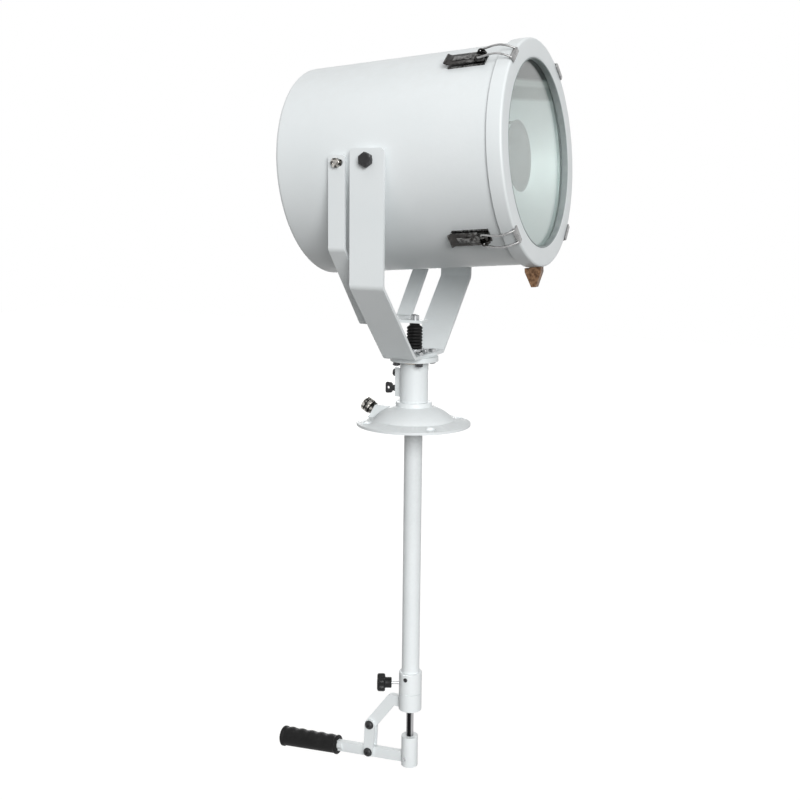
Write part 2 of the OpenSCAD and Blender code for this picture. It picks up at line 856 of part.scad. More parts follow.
// Stand on the drum's back that carries the lamp holder and the shield
module holder_post() {
  back = drum_sheet - drum_back_len;
  color("silver") lamp_frame() turned() {
    translate([0, back]) square([holder_flange_r - 5, holder_flange_t]);
    translate([holder_tube_r - 3, back]) square([3, holder_x - back]);
    translate([holder_r + seat, holder_x - holder_flange_t])
      square([holder_flange_r - holder_r - seat, holder_flange_t]);
  }
}

module lamp_holder() {
  socket = 30;
  depth = 40;
  color("ivory") lamp_frame() turned() difference() {
    union() {
      translate([0, holder_x - depth]) square([holder_r, bulb_foot_x - holder_x + depth - 2]);
      translate([0, holder_x]) square([holder_r + 8, holder_flange_t]);
    }
    translate([0, bulb_foot_x - socket - 2]) square([bulb_cap_r + seat, socket + cut]);
  }
}

module bulb() {
  cap_len = 30;
  color("white") lamp_frame() turned() {
    translate([0, bulb_foot_x - cap_len - 2]) square([bulb_cap_r, cap_len + 3]);
    translate([0, bulb_foot_x]) square([bulb_r, bulb_len - bulb_r]);
    intersection() {
      translate([0, bulb_foot_x]) square([bulb_r, bulb_len]);
      translate([0, bulb_foot_x + bulb_len - bulb_r]) circle(r = bulb_r);
    }
  }
}

// Dished shield that hides the bulb from the front
module bulb_shield() {
  dish_r = shield_d / 2 - shield_rim;
  face = shield_x + shield_t;
  centre = face - sqrt(pow(shield_curve, 2) - pow(dish_r, 2));
  color("gray") lamp_frame() turned() {
    translate([dish_r - 1, shield_x]) square([shield_rim + 1, shield_t]);
    intersection() {
      translate([0, shield_x]) square([dish_r, shield_curve]);
      translate([0, centre]) difference() {
        circle(r = shield_curve, $fn = 360);
        circle(r = shield_curve - shield_t, $fn = 360);
      }
    }
  }
}

module shield_posts() {
  color("silver") lamp_frame() translate([holder_x, 0, 0]) at_posts()
    cylinder(r = post_r, h = shield_x - holder_x);
}

module latch_bases() {
  color("gray") for (turn = latch_turns) latch_frame(turn) latch_base();
}

// Foot plate with two ears and the pivot pin of the lever
module latch_base() {
  ear_r = latch_ear_r;
  foot_back = latch_len - 5;
  foot_w = latch_w - 2;
  difference() {
    union() {
      translate([-foot_back, -foot_w / 2, -latch_foot_t])
        cube([foot_back + ear_r, foot_w, 2 * latch_foot_t]);
      for (side = [0, 1]) mirror([0, side, 0]) translate([0, (latch_ear_in + latch_ear_out) / 2, 0])
        upright(latch_ear_out - latch_ear_in) {
          translate([-2 * ear_r, 0]) square([3 * ear_r, latch_z]);
          translate([0, latch_z]) circle(r = ear_r);
        }
      translate([0, 0, latch_z]) rotate([90, 0, 0])
        cylinder(r = latch_pin_r, h = 2 * (latch_cheek_in + latch_cheek_t), center = true);
    }
    translate([0, 0, -drum_r]) rotate([0, 90, 0])
      cylinder(r = drum_r + seat, h = 4 * latch_len, center = true, $fn = 360);
  }
}

// Lever of one latch, folded from sheet: two cheeks and a thumb plate
module latch_lever(turn) {
  plate_low = -1.5;
  plate_h = 2.5;
  plate_top = plate_low + plate_h;
  plate_from = 13;
  lip_h = 5.5;
  cheek_r = latch_ear_r;
  cheek_back = 2.5 * plate_from;
  bail_rise = bail_z - latch_z;
  color("gray") latch_frame(turn) translate([0, 0, latch_z]) difference() {
    union() {
      for (side = [0, 1]) mirror([0, side, 0]) translate([0, latch_cheek_in + latch_cheek_t / 2, 0])
        upright(latch_cheek_t) {
          circle(r = cheek_r);
          translate([bail_x, bail_rise]) circle(r = wire_r + 1.8);
          polygon([[0, -cheek_r], [cheek_r, 0], [bail_x + 2, bail_rise + 3], [bail_x - 2, bail_rise + 3],
            [-plate_from, plate_top], [-cheek_back, plate_top], [-cheek_back, plate_low],
            [-plate_from, -cheek_r]]);
        }
      translate([-latch_len, -latch_w / 2, plate_low]) cube([latch_len - plate_from, latch_w, plate_h]);
      translate([-latch_len, -latch_w / 2, plate_low]) cube([plate_h, latch_w, lip_h]);
    }
    rotate([90, 0, 0]) cylinder(r = latch_pin_r + run_fit, h = 2 * latch_w, center = true);
    translate([bail_x, 0, bail_rise]) rotate([90, 0, 0])
      cylinder(r = wire_r + run_fit, h = 2 * latch_w, center = true);
  }
}

// Wire bail of one latch with the claw that hooks over the front ring
module latch_bail(turn) {
  foot = latch_cheek_in + 0.2;
  reach = [claw_x - bail_x, bail_z - claw_z - claw_t / 2];
  color("gainsboro") latch_frame(turn) {
    for (side = [0, 1]) mirror([0, side, 0]) translate([bail_x, bail_y, bail_z]) {
      rotate([0, 90 + atan2(reach[1], reach[0]), 0]) cylinder(r = wire_r, h = norm(reach));
      sphere(r = wire_r);
      rotate([90, 0, 0]) cylinder(r = wire_r, h = bail_y - foot);
    }
    translate([claw_x - claw_hook, -claw_w / 2, claw_z]) cube([claw_hook + claw_t, claw_w, claw_t]);
    translate([claw_x, -claw_w / 2, claw_z - claw_hook]) cube([claw_t, claw_w, claw_hook + claw_t]);
  }
}

// Bronze lug under the front ring
module lug() {
  drop = 34;
  thick = 16;
  shoulder = 8;
  behind = 7;
  tip = 4;
  front = bezel_len - bezel_edge;
  mid = (front - behind) / 2;
  color("sienna") lamp_frame() difference() {
    translate([bezel_rear, 0, -bezel_r]) upright(thick)
      polygon([[cut, bezel_edge], [cut, -cut], [-behind, -cut], [-behind, -shoulder], [mid - tip, -drop],
        [mid + tip, -drop], [front, -shoulder], [front, bezel_edge]]);
    translate([bezel_rear - cut, 0, 0]) rotate([0, 90, 0])
      cylinder(r = bezel_r + seat, h = bezel_len + 2 * cut, $fn = 360);
  }
}

module push_rod() {
  color("slategray") {
    translate([0, 0, rod_foot]) cylinder(d = rod_d, h = tilt_plate_z - rod_foot);
    translate([0, 0, tilt_plate_z - cut]) cylinder(r = rod_stud_r, h = tilt_t + cap_h - cap_top + cut);
  }
}

module tilt_yoke() {
  slot_r = tilt_pin_r + tilt_play;
  slot_back = -tilt_arm - tilt_play;
  slot_front = -tilt_arm * cos(tilt_max) + tilt_play;
  color("white") difference() {
    union() {
      intersection() {
        translate([tilt_strap_x, 0, 0]) crosswise(tilt_w)
          bent_bar(tilt_half, tilt_plate_z, tilt_out, tilt_bend_z, tilt_top, tilt_t);
        translate([tilt_strap_x, 0, 0]) upright(2 * tilt_out + cut)
          round_top(tilt_w, tilt_plate_z, tilt_top, arm_corner);
      }
      translate([tilt_strap_x, -tongue_w / 2, tilt_plate_z])
        cube([tongue_tip - tilt_strap_x, tongue_w, tilt_t]);
    }
    cylinder(r = rod_stud_r + seat, h = tilt_plate_z + 2 * tilt_t);
    translate([0, 0, tilt_pin_z]) rotate([90, 0, 0]) {
      for (x = [slot_back, slot_front]) translate([x, 0, 0])
        cylinder(r = slot_r, h = 2 * tilt_out + 2 * cut, center = true);
      translate([(slot_back + slot_front) / 2, 0, 0])
        cube([slot_front - slot_back, 2 * slot_r, 2 * tilt_out + 2 * cut], center = true);
    }
  }
}

module rod_cap() {
  color("silver") translate([0, 0, tilt_plate_z + tilt_t]) difference() {
    cylinder(r = cap_r, h = cap_h);
    translate([0, 0, -cut]) cylinder(r = rod_stud_r + seat, h = cap_h - cap_top + cut);
  }
}

// Block on the rod's end, slotted from below for the lever
module rod_block() {
  slot_w = lever_t + 2 * run_gap;
  color("white") difference() {
    translate([0, 0, block_low]) cylinder(d = block_d, h = block_top - block_low);
    translate([0, 0, rod_foot]) cylinder(d = rod_d + 2 * seat, h = block_top - rod_foot + cut);
    translate([-block_d, -slot_w / 2, block_low - cut])
      cube([block_d + block_slot_end, slot_w, block_slot_top - block_low + cut]);
    translate([pin_x, 0, pin_z]) rotate([90, 0, 0])
      cylinder(r = pin_r + seat, h = 2 * block_d, center = true);
  }
}

module block_pin() {
  half = sqrt(pow(block_d / 2, 2) - pow(abs(pin_x) + pin_r, 2));
  color("silver") translate([pin_x, 0, pin_z]) rotate([90, 0, 0])
    cylinder(r = pin_r, h = 2 * half, center = true);
}

// Two flat links, one on each side of the bracket and the lever
module handle_link() {
  color("white") for (side = [0, 1]) mirror([0, side, 0]) translate([0, (link_in + link_out) / 2, 0])
    upright(link_t) difference() {
      round_bar(pivot_a, pivot_b, link_w);
      translate(pivot_a) circle(r = pivot_r + run_fit);
      translate(pivot_b) circle(r = pivot_r + seat);
    }
}

module lever() {
  color("white") lever_frame() {
    upright(lever_t) difference() {
      union() {
        translate([-lever_back, -lever_h / 2]) square([lever_back + pin_arm, lever_h]);
        translate([pin_arm, 0]) circle(d = lever_h);
      }
      circle(r = pivot_r + run_fit);
      for (x = [-pin_slide, pin_slide]) translate([pin_arm + x, 0]) circle(r = pin_r + pin_play);
      translate([pin_arm, 0]) square([2 * pin_slide, 2 * (pin_r + pin_play)], center = true);
    }
    translate([-lever_back - grip_len + grip_end, 0, 0]) rotate([0, 90, 0])
      cylinder(r = tang_r, h = grip_len);
  }
}

// Rubber grip with shallow finger ribs and a flared end
module grip() {
  pitch = (grip_len - 2 * grip_flare) / grip_ribs;
  rib = 1.6;
  body = grip_d / 2 - rib;
  color("dimgray") lever_frame() translate([-lever_back, 0, 0]) rotate([0, -90, 0])
    rotate_extrude() difference() {
    union() {
      square([body, grip_len - grip_flare]);
      for (k = [0:grip_ribs - 1]) translate([0, (k + 0.25) * pitch]) square([body + rib, pitch / 2]);
      translate([0, grip_len - 4 * grip_flare]) square([grip_d / 2 + grip_flare, 4 * grip_flare]);
    }
    translate([0, -cut]) square([tang_r + seat, grip_len - grip_end + cut]);
  }
}

base_flange();
column();
bushes();
thrust_washer();
gland_body();
gland_nut();
gland_seal();
set_screw();
wing_screw();
pan_tube();
top_plate();
yoke();
yoke_bolts();
yoke_nuts();
bellows_clamp();
bellows();
collar();
collar_screw();
bracket();
rod_guides();
pivot_bolt_a();
lock_knob();
drum();
trunnion_bosses();
trunnion_bolts();
tilt_pads();
tilt_pins();
bezel();
glass();
front_seal();
glass_seal();
reflector();
holder_post();
lamp_holder();
bulb();
bulb_shield();
shield_posts();
latch_bases();
latch_lever(latch_turns[0]);  // latch_lever_1
latch_lever(latch_turns[1]);  // latch_lever_2
latch_lever(latch_turns[2]);  // latch_lever_3
latch_lever(latch_turns[3]);  // latch_lever_4
latch_bail(latch_turns[0]);  // latch_bail_1
latch_bail(latch_turns[1]);  // latch_bail_2
latch_bail(latch_turns[2]);  // latch_bail_3
latch_bail(latch_turns[3]);  // latch_bail_4
lug();
push_rod();
tilt_yoke();
rod_cap();
rod_block();
block_pin();
handle_link();
pivot_bolt_b();
lever();
grip();
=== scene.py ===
import math

import bmesh
import bpy
from mathutils import Matrix, Vector


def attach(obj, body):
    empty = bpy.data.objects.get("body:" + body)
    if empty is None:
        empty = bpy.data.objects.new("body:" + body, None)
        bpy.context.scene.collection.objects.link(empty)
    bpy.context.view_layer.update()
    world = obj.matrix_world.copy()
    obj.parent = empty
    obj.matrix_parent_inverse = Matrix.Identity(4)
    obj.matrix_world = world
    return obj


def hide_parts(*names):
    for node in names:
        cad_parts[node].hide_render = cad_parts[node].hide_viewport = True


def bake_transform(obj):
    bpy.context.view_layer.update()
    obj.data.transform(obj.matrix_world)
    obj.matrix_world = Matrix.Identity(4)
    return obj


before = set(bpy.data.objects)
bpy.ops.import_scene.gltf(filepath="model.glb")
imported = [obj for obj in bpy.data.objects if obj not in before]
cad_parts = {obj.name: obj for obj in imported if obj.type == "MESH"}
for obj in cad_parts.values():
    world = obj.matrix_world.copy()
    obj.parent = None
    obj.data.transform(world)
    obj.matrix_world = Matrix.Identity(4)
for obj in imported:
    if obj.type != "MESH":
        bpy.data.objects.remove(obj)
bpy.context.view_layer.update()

# Roof base
# A light alloy casting with a domed middle, a thin sloping flange and a boss for the cable gland.
# Its underside is machined, its bolt holes are spot faced and it is finished in white enamel.
mm = 0.001


def new_effect(name, inputs, outputs):
    effect = bpy.data.node_groups.new(name, "ShaderNodeTree")
    for label, value in inputs.items():
        socket = effect.interface.new_socket(label, in_out="INPUT", socket_type="NodeSocketFloat")
        socket.default_value = value
    for label in outputs:
        effect.interface.new_socket(label, in_out="OUTPUT", socket_type="NodeSocketFloat")
    return effect, effect.nodes.new("NodeGroupInput"), effect.nodes.new("NodeGroupOutput")


def add_noise(tree, coordinates, scale, detail=3.0, roughness=0.55):
    noise = tree.nodes.new("ShaderNodeTexNoise")
    noise.inputs["Scale"].default_value = scale
    noise.inputs["Detail"].default_value = detail
    noise.inputs["Roughness"].default_value = roughness
    tree.links.new(coordinates, noise.inputs["Vector"])
    return noise.outputs["Fac"]


def remap(tree, value, low, high, to_low=0.0, to_high=1.0):
    span = tree.nodes.new("ShaderNodeMapRange")
    for label, number in (("From Min", low), ("From Max", high), ("To Min", to_low), ("To Max", to_high)):
        span.inputs[label].default_value = number
    tree.links.new(value, span.inputs["Value"])
    return span.outputs["Result"]


def times(tree, first, second):
    product = tree.nodes.new("ShaderNodeMath")
    product.operation = "MULTIPLY"
    for place, value in enumerate((first, second)):
        tree.links.new(value, product.inputs[place])
    return product.outputs["Value"]


def tint(tree, mask, under, over):
    """Lays one colour over another where the mask is high."""
    mix = tree.nodes.new("ShaderNodeMix")
    mix.data_type = "RGBA"
    tree.links.new(mask, mix.inputs["Factor"])
    for label, colour in (("A", under), ("B", over)):
        socket = next(s for s in mix.inputs if s.name == label and s.type == "RGBA")
        if isinstance(colour, tuple):
            socket.default_value = (*colour, 1.0)
        else:
            tree.links.new(colour, socket)
    return next(s for s in mix.outputs if s.type == "RGBA")


def place_effect(tree, effect, **values):
    node = tree.nodes.new("ShaderNodeGroup")
    node.node_tree = effect
    for label, number in values.items():
        node.inputs[label.replace("_", " ").capitalize()].default_value = number
    return node.outputs


def new_finish(name, metallic, coat=0.0, coat_roughness=0.1):
    finish = bpy.data.materials.new(name)
    finish.use_nodes = True
    shader = finish.node_tree.nodes["Principled BSDF"]
    shader.inputs["Metallic"].default_value = metallic
    shader.inputs["Coat Weight"].default_value = coat
    shader.inputs["Coat Roughness"].default_value = coat_roughness
    return finish, finish.node_tree, shader


def set_colour(tree, shader, colour):
    tree.links.new(colour, shader.inputs["Base Color"])


def set_gloss(tree, shader, mask, smoothest, roughest):
    tree.links.new(remap(tree, mask, 0.0, 1.0, smoothest, roughest), shader.inputs["Roughness"])


def raise_surface(tree, shader, height, depth, strength=0.6):
    bump = tree.nodes.new("ShaderNodeBump")
    bump.inputs["Strength"].default_value = strength
    bump.inputs["Distance"].default_value = depth
    tree.links.new(height, bump.inputs["Height"])
    tree.links.new(bump.outputs["Normal"], shader.inputs["Normal"])


# Sprayed enamel: slow drifts of tone, a fine orange peel and patches of duller gloss
sprayed_film, film_in, film_out = new_effect("sprayed film", {"Scale": 1.0}, ("Tone", "Gloss", "Peel"))
film_place = sprayed_film.nodes.new("ShaderNodeTexCoord")
film_size = sprayed_film.nodes.new("ShaderNodeVectorMath")
film_size.operation = "SCALE"
sprayed_film.links.new(film_place.outputs["Object"], film_size.inputs[0])
sprayed_film.links.new(film_in.outputs["Scale"], film_size.inputs["Scale"])
film_at = film_size.outputs["Vector"]
for label, scale, low, high in (("Tone", 7, 0.3, 0.7), ("Gloss", 26, 0.3, 0.7), ("Peel", 620, 0.2, 0.8)):
    sprayed_film.links.new(remap(sprayed_film, add_noise(sprayed_film, film_at, scale), low, high),
                           film_out.inputs[label])

# Dust and salt that settle on whatever faces upward
settled_dust, dust_in, dust_out = new_effect("settled dust", {"Amount": 0.3}, ("Mask",))
dust_face = settled_dust.nodes.new("ShaderNodeNewGeometry")
dust_normal = settled_dust.nodes.new("ShaderNodeSeparateXYZ")
settled_dust.links.new(dust_face.outputs["Normal"], dust_normal.inputs["Vector"])
dust_place = settled_dust.nodes.new("ShaderNodeTexCoord")
dust_noise = add_noise(settled_dust, dust_place.outputs["Object"], scale=55, detail=5.0, roughness=0.65)
dust_level = times(settled_dust, remap(settled_dust, dust_normal.outputs["Z"], low=0.25, high=1.0),
                   remap(settled_dust, dust_noise, low=0.35, high=0.75))
settled_dust.links.new(times(settled_dust, dust_level, dust_in.outputs["Amount"]), dust_out.inputs["Mask"])

# Corners rubbed by hands and tools, where the surface folds sharply, and hollows that take painted shade
rubbed_corner, corner_in, corner_out = new_effect("rubbed corner", {"Amount": 0.5}, ("Mask", "Hollow"))
corner_face = rubbed_corner.nodes.new("ShaderNodeNewGeometry")
corner_place = rubbed_corner.nodes.new("ShaderNodeTexCoord")
corner_noise = add_noise(rubbed_corner, corner_place.outputs["Object"], scale=180, detail=4.0)
fold = corner_face.outputs["Pointiness"]
corner_level = times(rubbed_corner, remap(rubbed_corner, fold, low=0.53, high=0.62),
                     remap(rubbed_corner, corner_noise, low=0.42, high=0.62))
rubbed_corner.links.new(times(rubbed_corner, corner_level, corner_in.outputs["Amount"]),
                        corner_out.inputs["Mask"])
rubbed_corner.links.new(remap(rubbed_corner, fold, low=0.48, high=0.42), corner_out.inputs["Hollow"])

enamel_dull, enamel_bright = (0.765, 0.805, 0.815), (0.80, 0.835, 0.845)
enamel_dust, enamel_chip = (0.66, 0.67, 0.65), (0.56, 0.57, 0.57)
white_enamel, paint_tree, paint = new_finish("white enamel", metallic=0.0, coat=0.12, coat_roughness=0.2)
film = place_effect(paint_tree, sprayed_film, scale=1.0)
dust = place_effect(paint_tree, settled_dust, amount=0.28)
chips = place_effect(paint_tree, rubbed_corner, amount=0.12)
paint_tone = tint(paint_tree, film["Tone"], enamel_dull, enamel_bright)
paint_dusty = tint(paint_tree, dust["Mask"], paint_tone, enamel_dust)
set_colour(paint_tree, paint, tint(paint_tree, chips["Mask"], paint_dusty, enamel_chip))
set_gloss(paint_tree, paint, film["Gloss"], smoothest=0.40, roughest=0.52)
raise_surface(paint_tree, paint, film["Peel"], depth=0.12 * mm)


def settle(name, shape, finish, body, *nodes, crease=34, weld=0.002):
    """Makes the finished piece, puts it on its body and hides the solids that it stands for."""
    bmesh.ops.remove_doubles(shape, verts=shape.verts, dist=weld * mm)
    bmesh.ops.recalc_face_normals(shape, faces=shape.faces)
    mesh = bpy.data.meshes.new(name)
    shape.to_mesh(mesh)
    shape.free()
    mesh.shade_smooth()
    mesh.set_sharp_from_angle(angle=math.radians(crease))
    mesh.materials.append(finish)
    piece = bpy.data.objects.new(name, mesh)
    bpy.context.scene.collection.objects.link(piece)
    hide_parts(*nodes)
    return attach(piece, body) if body else piece


def ease_corners(shape, sharp, ease):
    """Takes the edges past the sharp angle off, as a file or a casting leaves them."""
    corners = [e for e in shape.edges
               if len(e.link_faces) == 2 and e.calc_face_angle(0.0) > math.radians(sharp)]
    bmesh.ops.bevel(shape, geom=corners, offset=ease * mm, segments=2, profile=0.6, affect="EDGES",
                    clamp_overlap=True)


def eased_solid(name, node, finish, body, ease, weld=0.004, flat=0.6):
    """The solid itself with its sharp corners taken off."""
    shape = bmesh.new()
    shape.from_mesh(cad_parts[node].data)
    bmesh.ops.remove_doubles(shape, verts=shape.verts, dist=weld * mm)
    bmesh.ops.dissolve_limit(shape, angle_limit=math.radians(flat), verts=shape.verts, edges=shape.edges)
    ease_corners(shape, sharp=38, ease=ease)
    return settle(name, shape, finish, body, node, crease=20)


eased_solid("roof_base_casting", "base_flange", white_enamel, "base", ease=0.8)

# Column
# A turned sleeve with a spigot in the base and a flat pad for the two screws.
# It is pressed into the casting and painted with it.
eased_solid("column_sleeve", "column", white_enamel, "base", ease=0.7)

# Plain bearings
# Bronze bushes for the pan tube and the push rod, and the washer that carries the turning weight.
# They are turned from bar, pressed into their seats and greased.
turned_grain, grain_in, grain_out = new_effect("turned grain", {"Scale": 1.0, "Stretch": 30.0}, ("Streak",))
grain_place = turned_grain.nodes.new("ShaderNodeTexCoord")
grain_size = turned_grain.nodes.new("ShaderNodeCombineXYZ")
for axis, label in (("X", "Scale"), ("Y", "Scale"), ("Z", "Stretch")):
    turned_grain.links.new(grain_in.outputs[label], grain_size.inputs[axis])
grain_at = turned_grain.nodes.new("ShaderNodeVectorMath")
grain_at.operation = "MULTIPLY"
turned_grain.links.new(grain_place.outputs["Object"], grain_at.inputs[0])
turned_grain.links.new(grain_size.outputs["Vector"], grain_at.inputs[1])
grain_noise = add_noise(turned_grain, grain_at.outputs["Vector"], scale=24, detail=4.0)
turned_grain.links.new(remap(turned_grain, grain_noise, low=0.25, high=0.75), grain_out.inputs["Streak"])
bronze_dark, bronze_light = (0.42, 0.27, 0.12), (0.56, 0.38, 0.19)
plain_bronze, bronze_tree, bronze = new_finish("bearing bronze", metallic=1.0)
bronze_grain = place_effect(bronze_tree, turned_grain, scale=1.0, stretch=20.0)
set_colour(bronze_tree, bronze, tint(bronze_tree, bronze_grain["Streak"], bronze_dark, bronze_light))
set_gloss(bronze_tree, bronze, bronze_grain["Streak"], smoothest=0.28, roughest=0.45)


def dress_solid(node, finish):
    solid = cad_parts[node]
    solid.data.materials.clear()
    solid.data.materials.append(finish)


for node in ("bushes", "thrust_washer", "rod_guides"):
    dress_solid(node, plain_bronze)

# Cable gland
# A plated gland screwed into the slanted face of the boss: hexagon body, ribbed nut and rubber insert.
# The nut squeezes the insert round the supply cable.
# The near-black end of the plated nickel's tone stands in for dark reflections: partly turning grain,
# partly painted reflection.
nickel_dark_reflection, nickel_light = (0.06, 0.058, 0.054), (0.50, 0.48, 0.45)
nickel_dust, nickel_hollow_shade = (0.34, 0.32, 0.28), (0.015, 0.015, 0.015)
plated_nickel, nickel_tree, nickel = new_finish("plated nickel", metallic=1.0)
nickel_grain = place_effect(nickel_tree, turned_grain, scale=6.0, stretch=6.0)
nickel_rub = place_effect(nickel_tree, settled_dust, amount=0.5)
# The near-black laid into the gland's hollows is painted shade.
nickel_shaded_hollows = place_effect(nickel_tree, rubbed_corner)
nickel_grain_and_reflection = remap(nickel_tree, nickel_grain["Streak"], low=0.36, high=0.60)
nickel_grain_and_reflection_tone = tint(nickel_tree, nickel_grain_and_reflection, nickel_dark_reflection, nickel_light)
nickel_dusty = tint(nickel_tree, nickel_rub["Mask"], nickel_grain_and_reflection_tone, nickel_dust)
set_colour(nickel_tree, nickel, tint(nickel_tree, nickel_shaded_hollows["Hollow"], nickel_dusty, nickel_hollow_shade))
set_gloss(nickel_tree, nickel, nickel_grain["Streak"], smoothest=0.18, roughest=0.34)

bloomed_rubber, bloom_in, bloom_out = new_effect("bloomed rubber", {"Scale": 1.0}, ("Bloom", "Grain"))
bloom_place = bloomed_rubber.nodes.new("ShaderNodeTexCoord")
bloom_size = bloomed_rubber.nodes.new("ShaderNodeVectorMath")
bloom_size.operation = "SCALE"
bloomed_rubber.links.new(bloom_place.outputs["Object"], bloom_size.inputs[0])
bloomed_rubber.links.new(bloom_in.outputs["Scale"], bloom_size.inputs["Scale"])
for label, scale, low, high in (("Bloom", 48, 0.4, 0.72), ("Grain", 900, 0.2, 0.8)):
    bloom_noise = add_noise(bloomed_rubber, bloom_size.outputs["Vector"], scale, detail=4.0)
    bloomed_rubber.links.new(remap(bloomed_rubber, bloom_noise, low, high), bloom_out.inputs[label])
rubber_black, rubber_bloomed = (0.004, 0.004, 0.004), (0.011, 0.011, 0.011)
rubber_dusted = (0.05, 0.05, 0.048)
black_rubber, rubber_tree, rubber = new_finish("black rubber", metallic=0.0)
rubber.inputs["Specular IOR Level"].default_value = 0.18
rubber_bloom = place_effect(rubber_tree, bloomed_rubber, scale=1.0)
rubber_dust = place_effect(rubber_tree, settled_dust, amount=0.10)
rubber_tone = tint(rubber_tree, rubber_bloom["Bloom"], rubber_black, rubber_bloomed)
set_colour(rubber_tree, rubber, tint(rubber_tree, rubber_dust["Mask"], rubber_tone, rubber_dusted))
set_gloss(rubber_tree, rubber, rubber_bloom["Bloom"], smoothest=0.5, roughest=0.66)
raise_surface(rubber_tree, rubber, rubber_bloom["Grain"], depth=0.15 * mm)


def hexagon(turn):
    """Outline of a hexagon as a share of its corner radius."""
    sixth = math.pi / 3
    return math.cos(sixth / 2) / math.cos(turn % sixth - sixth / 2)


def ribbed(turn, ribs=24, depth=0.05):
    return 1 - depth * (1 - math.cos(ribs * turn)) / 2


def spin(shape, profile, place=Matrix(), sides=72):
    """Turns rows of radius, height and an optional outline about the Z axis of the given place."""
    rings = []
    for radius, height, *outline in profile:
        if radius <= 0:
            rings.append([shape.verts.new(place @ Vector((0, 0, height * mm)))])
            continue
        ring = []
        for k in range(sides):
            turn = 2 * math.pi * k / sides
            reach = radius * mm * (outline[0](turn) if outline else 1)
            spot = Vector((reach * math.cos(turn), reach * math.sin(turn), height * mm))
            ring.append(shape.verts.new(place @ spot))
        rings.append(ring)
    for low, high in zip(rings, rings[1:]):
        for k in range(sides):
            corners = (low[k % len(low)], low[(k + 1) % len(low)],
                       high[(k + 1) % len(high)], high[k % len(high)])
            corners = list(dict.fromkeys(corners))
            if len(corners) > 2:
                shape.faces.new(corners)


def moved(x, y, z):
    """Place shifted by millimetres."""
    return Matrix.Translation((x * mm, y * mm, z * mm))


def turned(degrees, axis):
    return Matrix.Rotation(math.radians(degrees), 4, axis)


boss_face_x, boss_face_z, boss_face_slope = -79.7, 20.4, -60
gland_place = moved(boss_face_x, 0, boss_face_z) @ turned(boss_face_slope, "Y")
cord_way, thread, thread_low = 5.5, 9, -16
key_corner, key_high, key_chamfer = 13, 7, 0.9
neck, neck_high = 8.5, 13
gland_shape = bmesh.new()
spin(gland_shape, [
    (cord_way, thread_low), (thread, thread_low), (thread, 0), (11.2, 0),
    (key_corner, key_chamfer, hexagon), (key_corner, key_high - key_chamfer, hexagon), (11.4, key_high),
    (neck, key_high), (neck, neck_high), (cord_way, neck_high), (cord_way, thread_low)], gland_place)
settle("gland_hexagon", gland_shape, plated_nickel, "base", "gland_body")
nut_bore, nut_radius, nut_low, nut_roof, nut_high = 8.55, 13.5, 7.6, 18.2, 25
nut_shape = bmesh.new()
spin(nut_shape, [
    (nut_bore, nut_low), (10.4, nut_low), (10.4, 9.2), (12.9, 9.4), (nut_radius, 10, ribbed),
    (nut_radius, 15.6, ribbed), (12.9, 16.2), (10.6, 16.4), (10.6, 18), (12.9, nut_roof), (13.4, 18.8),
    (13.4, 23), (10.8, nut_high), (cord_way, nut_high), (cord_way, nut_roof), (nut_bore, nut_roof),
    (nut_bore, nut_low)], gland_place, sides=192)
settle("gland_ribbed_nut", nut_shape, plated_nickel, "base", "gland_nut")
insert_bore, insert_radius, insert_lip, insert_step, insert_high = 4.5, 8.4, 5.2, 18, 24.2
insert_shape = bmesh.new()
spin(insert_shape, [
    (insert_bore, neck_high), (insert_radius, neck_high), (insert_radius, insert_step),
    (insert_lip, insert_step), (insert_lip, insert_high), (insert_bore, insert_high),
    (insert_bore, neck_high)], gland_place)
# The two black rubber rings spun round the insert are dark bands that stand in for dark reflections on the
# gland: painted reflection.
dark_band_bore, dark_band_side, dark_band_crown, dark_band_high = 10.5, 12.1, 12.5, 1.4
for low in (7.6, 16.5):
    spin(insert_shape, [
        (dark_band_bore, low), (dark_band_side, low), (dark_band_crown, low + dark_band_high / 2),
        (dark_band_side, low + dark_band_high), (dark_band_bore, low + dark_band_high), (dark_band_bore, low)],
        gland_place)
settle("gland_insert", insert_shape, black_rubber, "base", "gland_seal")

# Screws on the column's pad
# A short blackened hexagon screw, and below it a flat thumb screw that locks the pan tube.
# Both are threaded into the pad.
oxide_dark, oxide_light, oxide_rubbed = (0.010, 0.010, 0.011), (0.024, 0.024, 0.026), (0.16, 0.16, 0.165)
blackened_steel, black_tree, black = new_finish("blackened steel", metallic=0.35)
black_grain = place_effect(black_tree, turned_grain, scale=3.0, stretch=3.0)
black_rub = place_effect(black_tree, rubbed_corner, amount=0.55)
black_tone = tint(black_tree, black_grain["Streak"], oxide_dark, oxide_light)
set_colour(black_tree, black, tint(black_tree, black_rub["Mask"], black_tone, oxide_rubbed))
set_gloss(black_tree, black, black_grain["Streak"], smoothest=0.30, roughest=0.46)


def facing(direction):
    """Z axis turned level, towards the given compass direction."""
    return turned(direction, "Z") @ turned(90, "Y")


def hexagon_head(shape, corner_radius, height, place, below=0.0):
    """Bolt head with the round chamfer and the shallow dish that are turned on a real hexagon."""
    flat = corner_radius * math.cos(math.pi / 6)
    top, chamfer, dish = below + height, corner_radius * 0.10, 0.25
    spin(shape, [(0, below), (corner_radius, below, hexagon), (corner_radius, top - chamfer, hexagon),
                 (flat * 0.95, top), (flat * 0.55, top), (flat * 0.5, top - dish), (0, top - dish)], place)


def shank(shape, radius, low, high, place, chamfer=0.6):
    spin(shape, [(0, low), (radius - chamfer, low), (radius, low + chamfer), (radius, high), (0, high)],
         place, sides=36)


pad_face_x, set_screw_z = -33.5, 93.7
set_place = moved(pad_face_x, 0, set_screw_z) @ facing(180)
set_shape = bmesh.new()
hexagon_head(set_shape, corner_radius=7, height=8, place=set_place)
shank(set_shape, radius=4, low=-11.6, high=0, place=set_place)
settle("pad_hexagon_screw", set_shape, blackened_steel, "base", "set_screw")
eased_solid("pan_thumb_screw", "wing_screw", blackened_steel, "wing", ease=0.6)

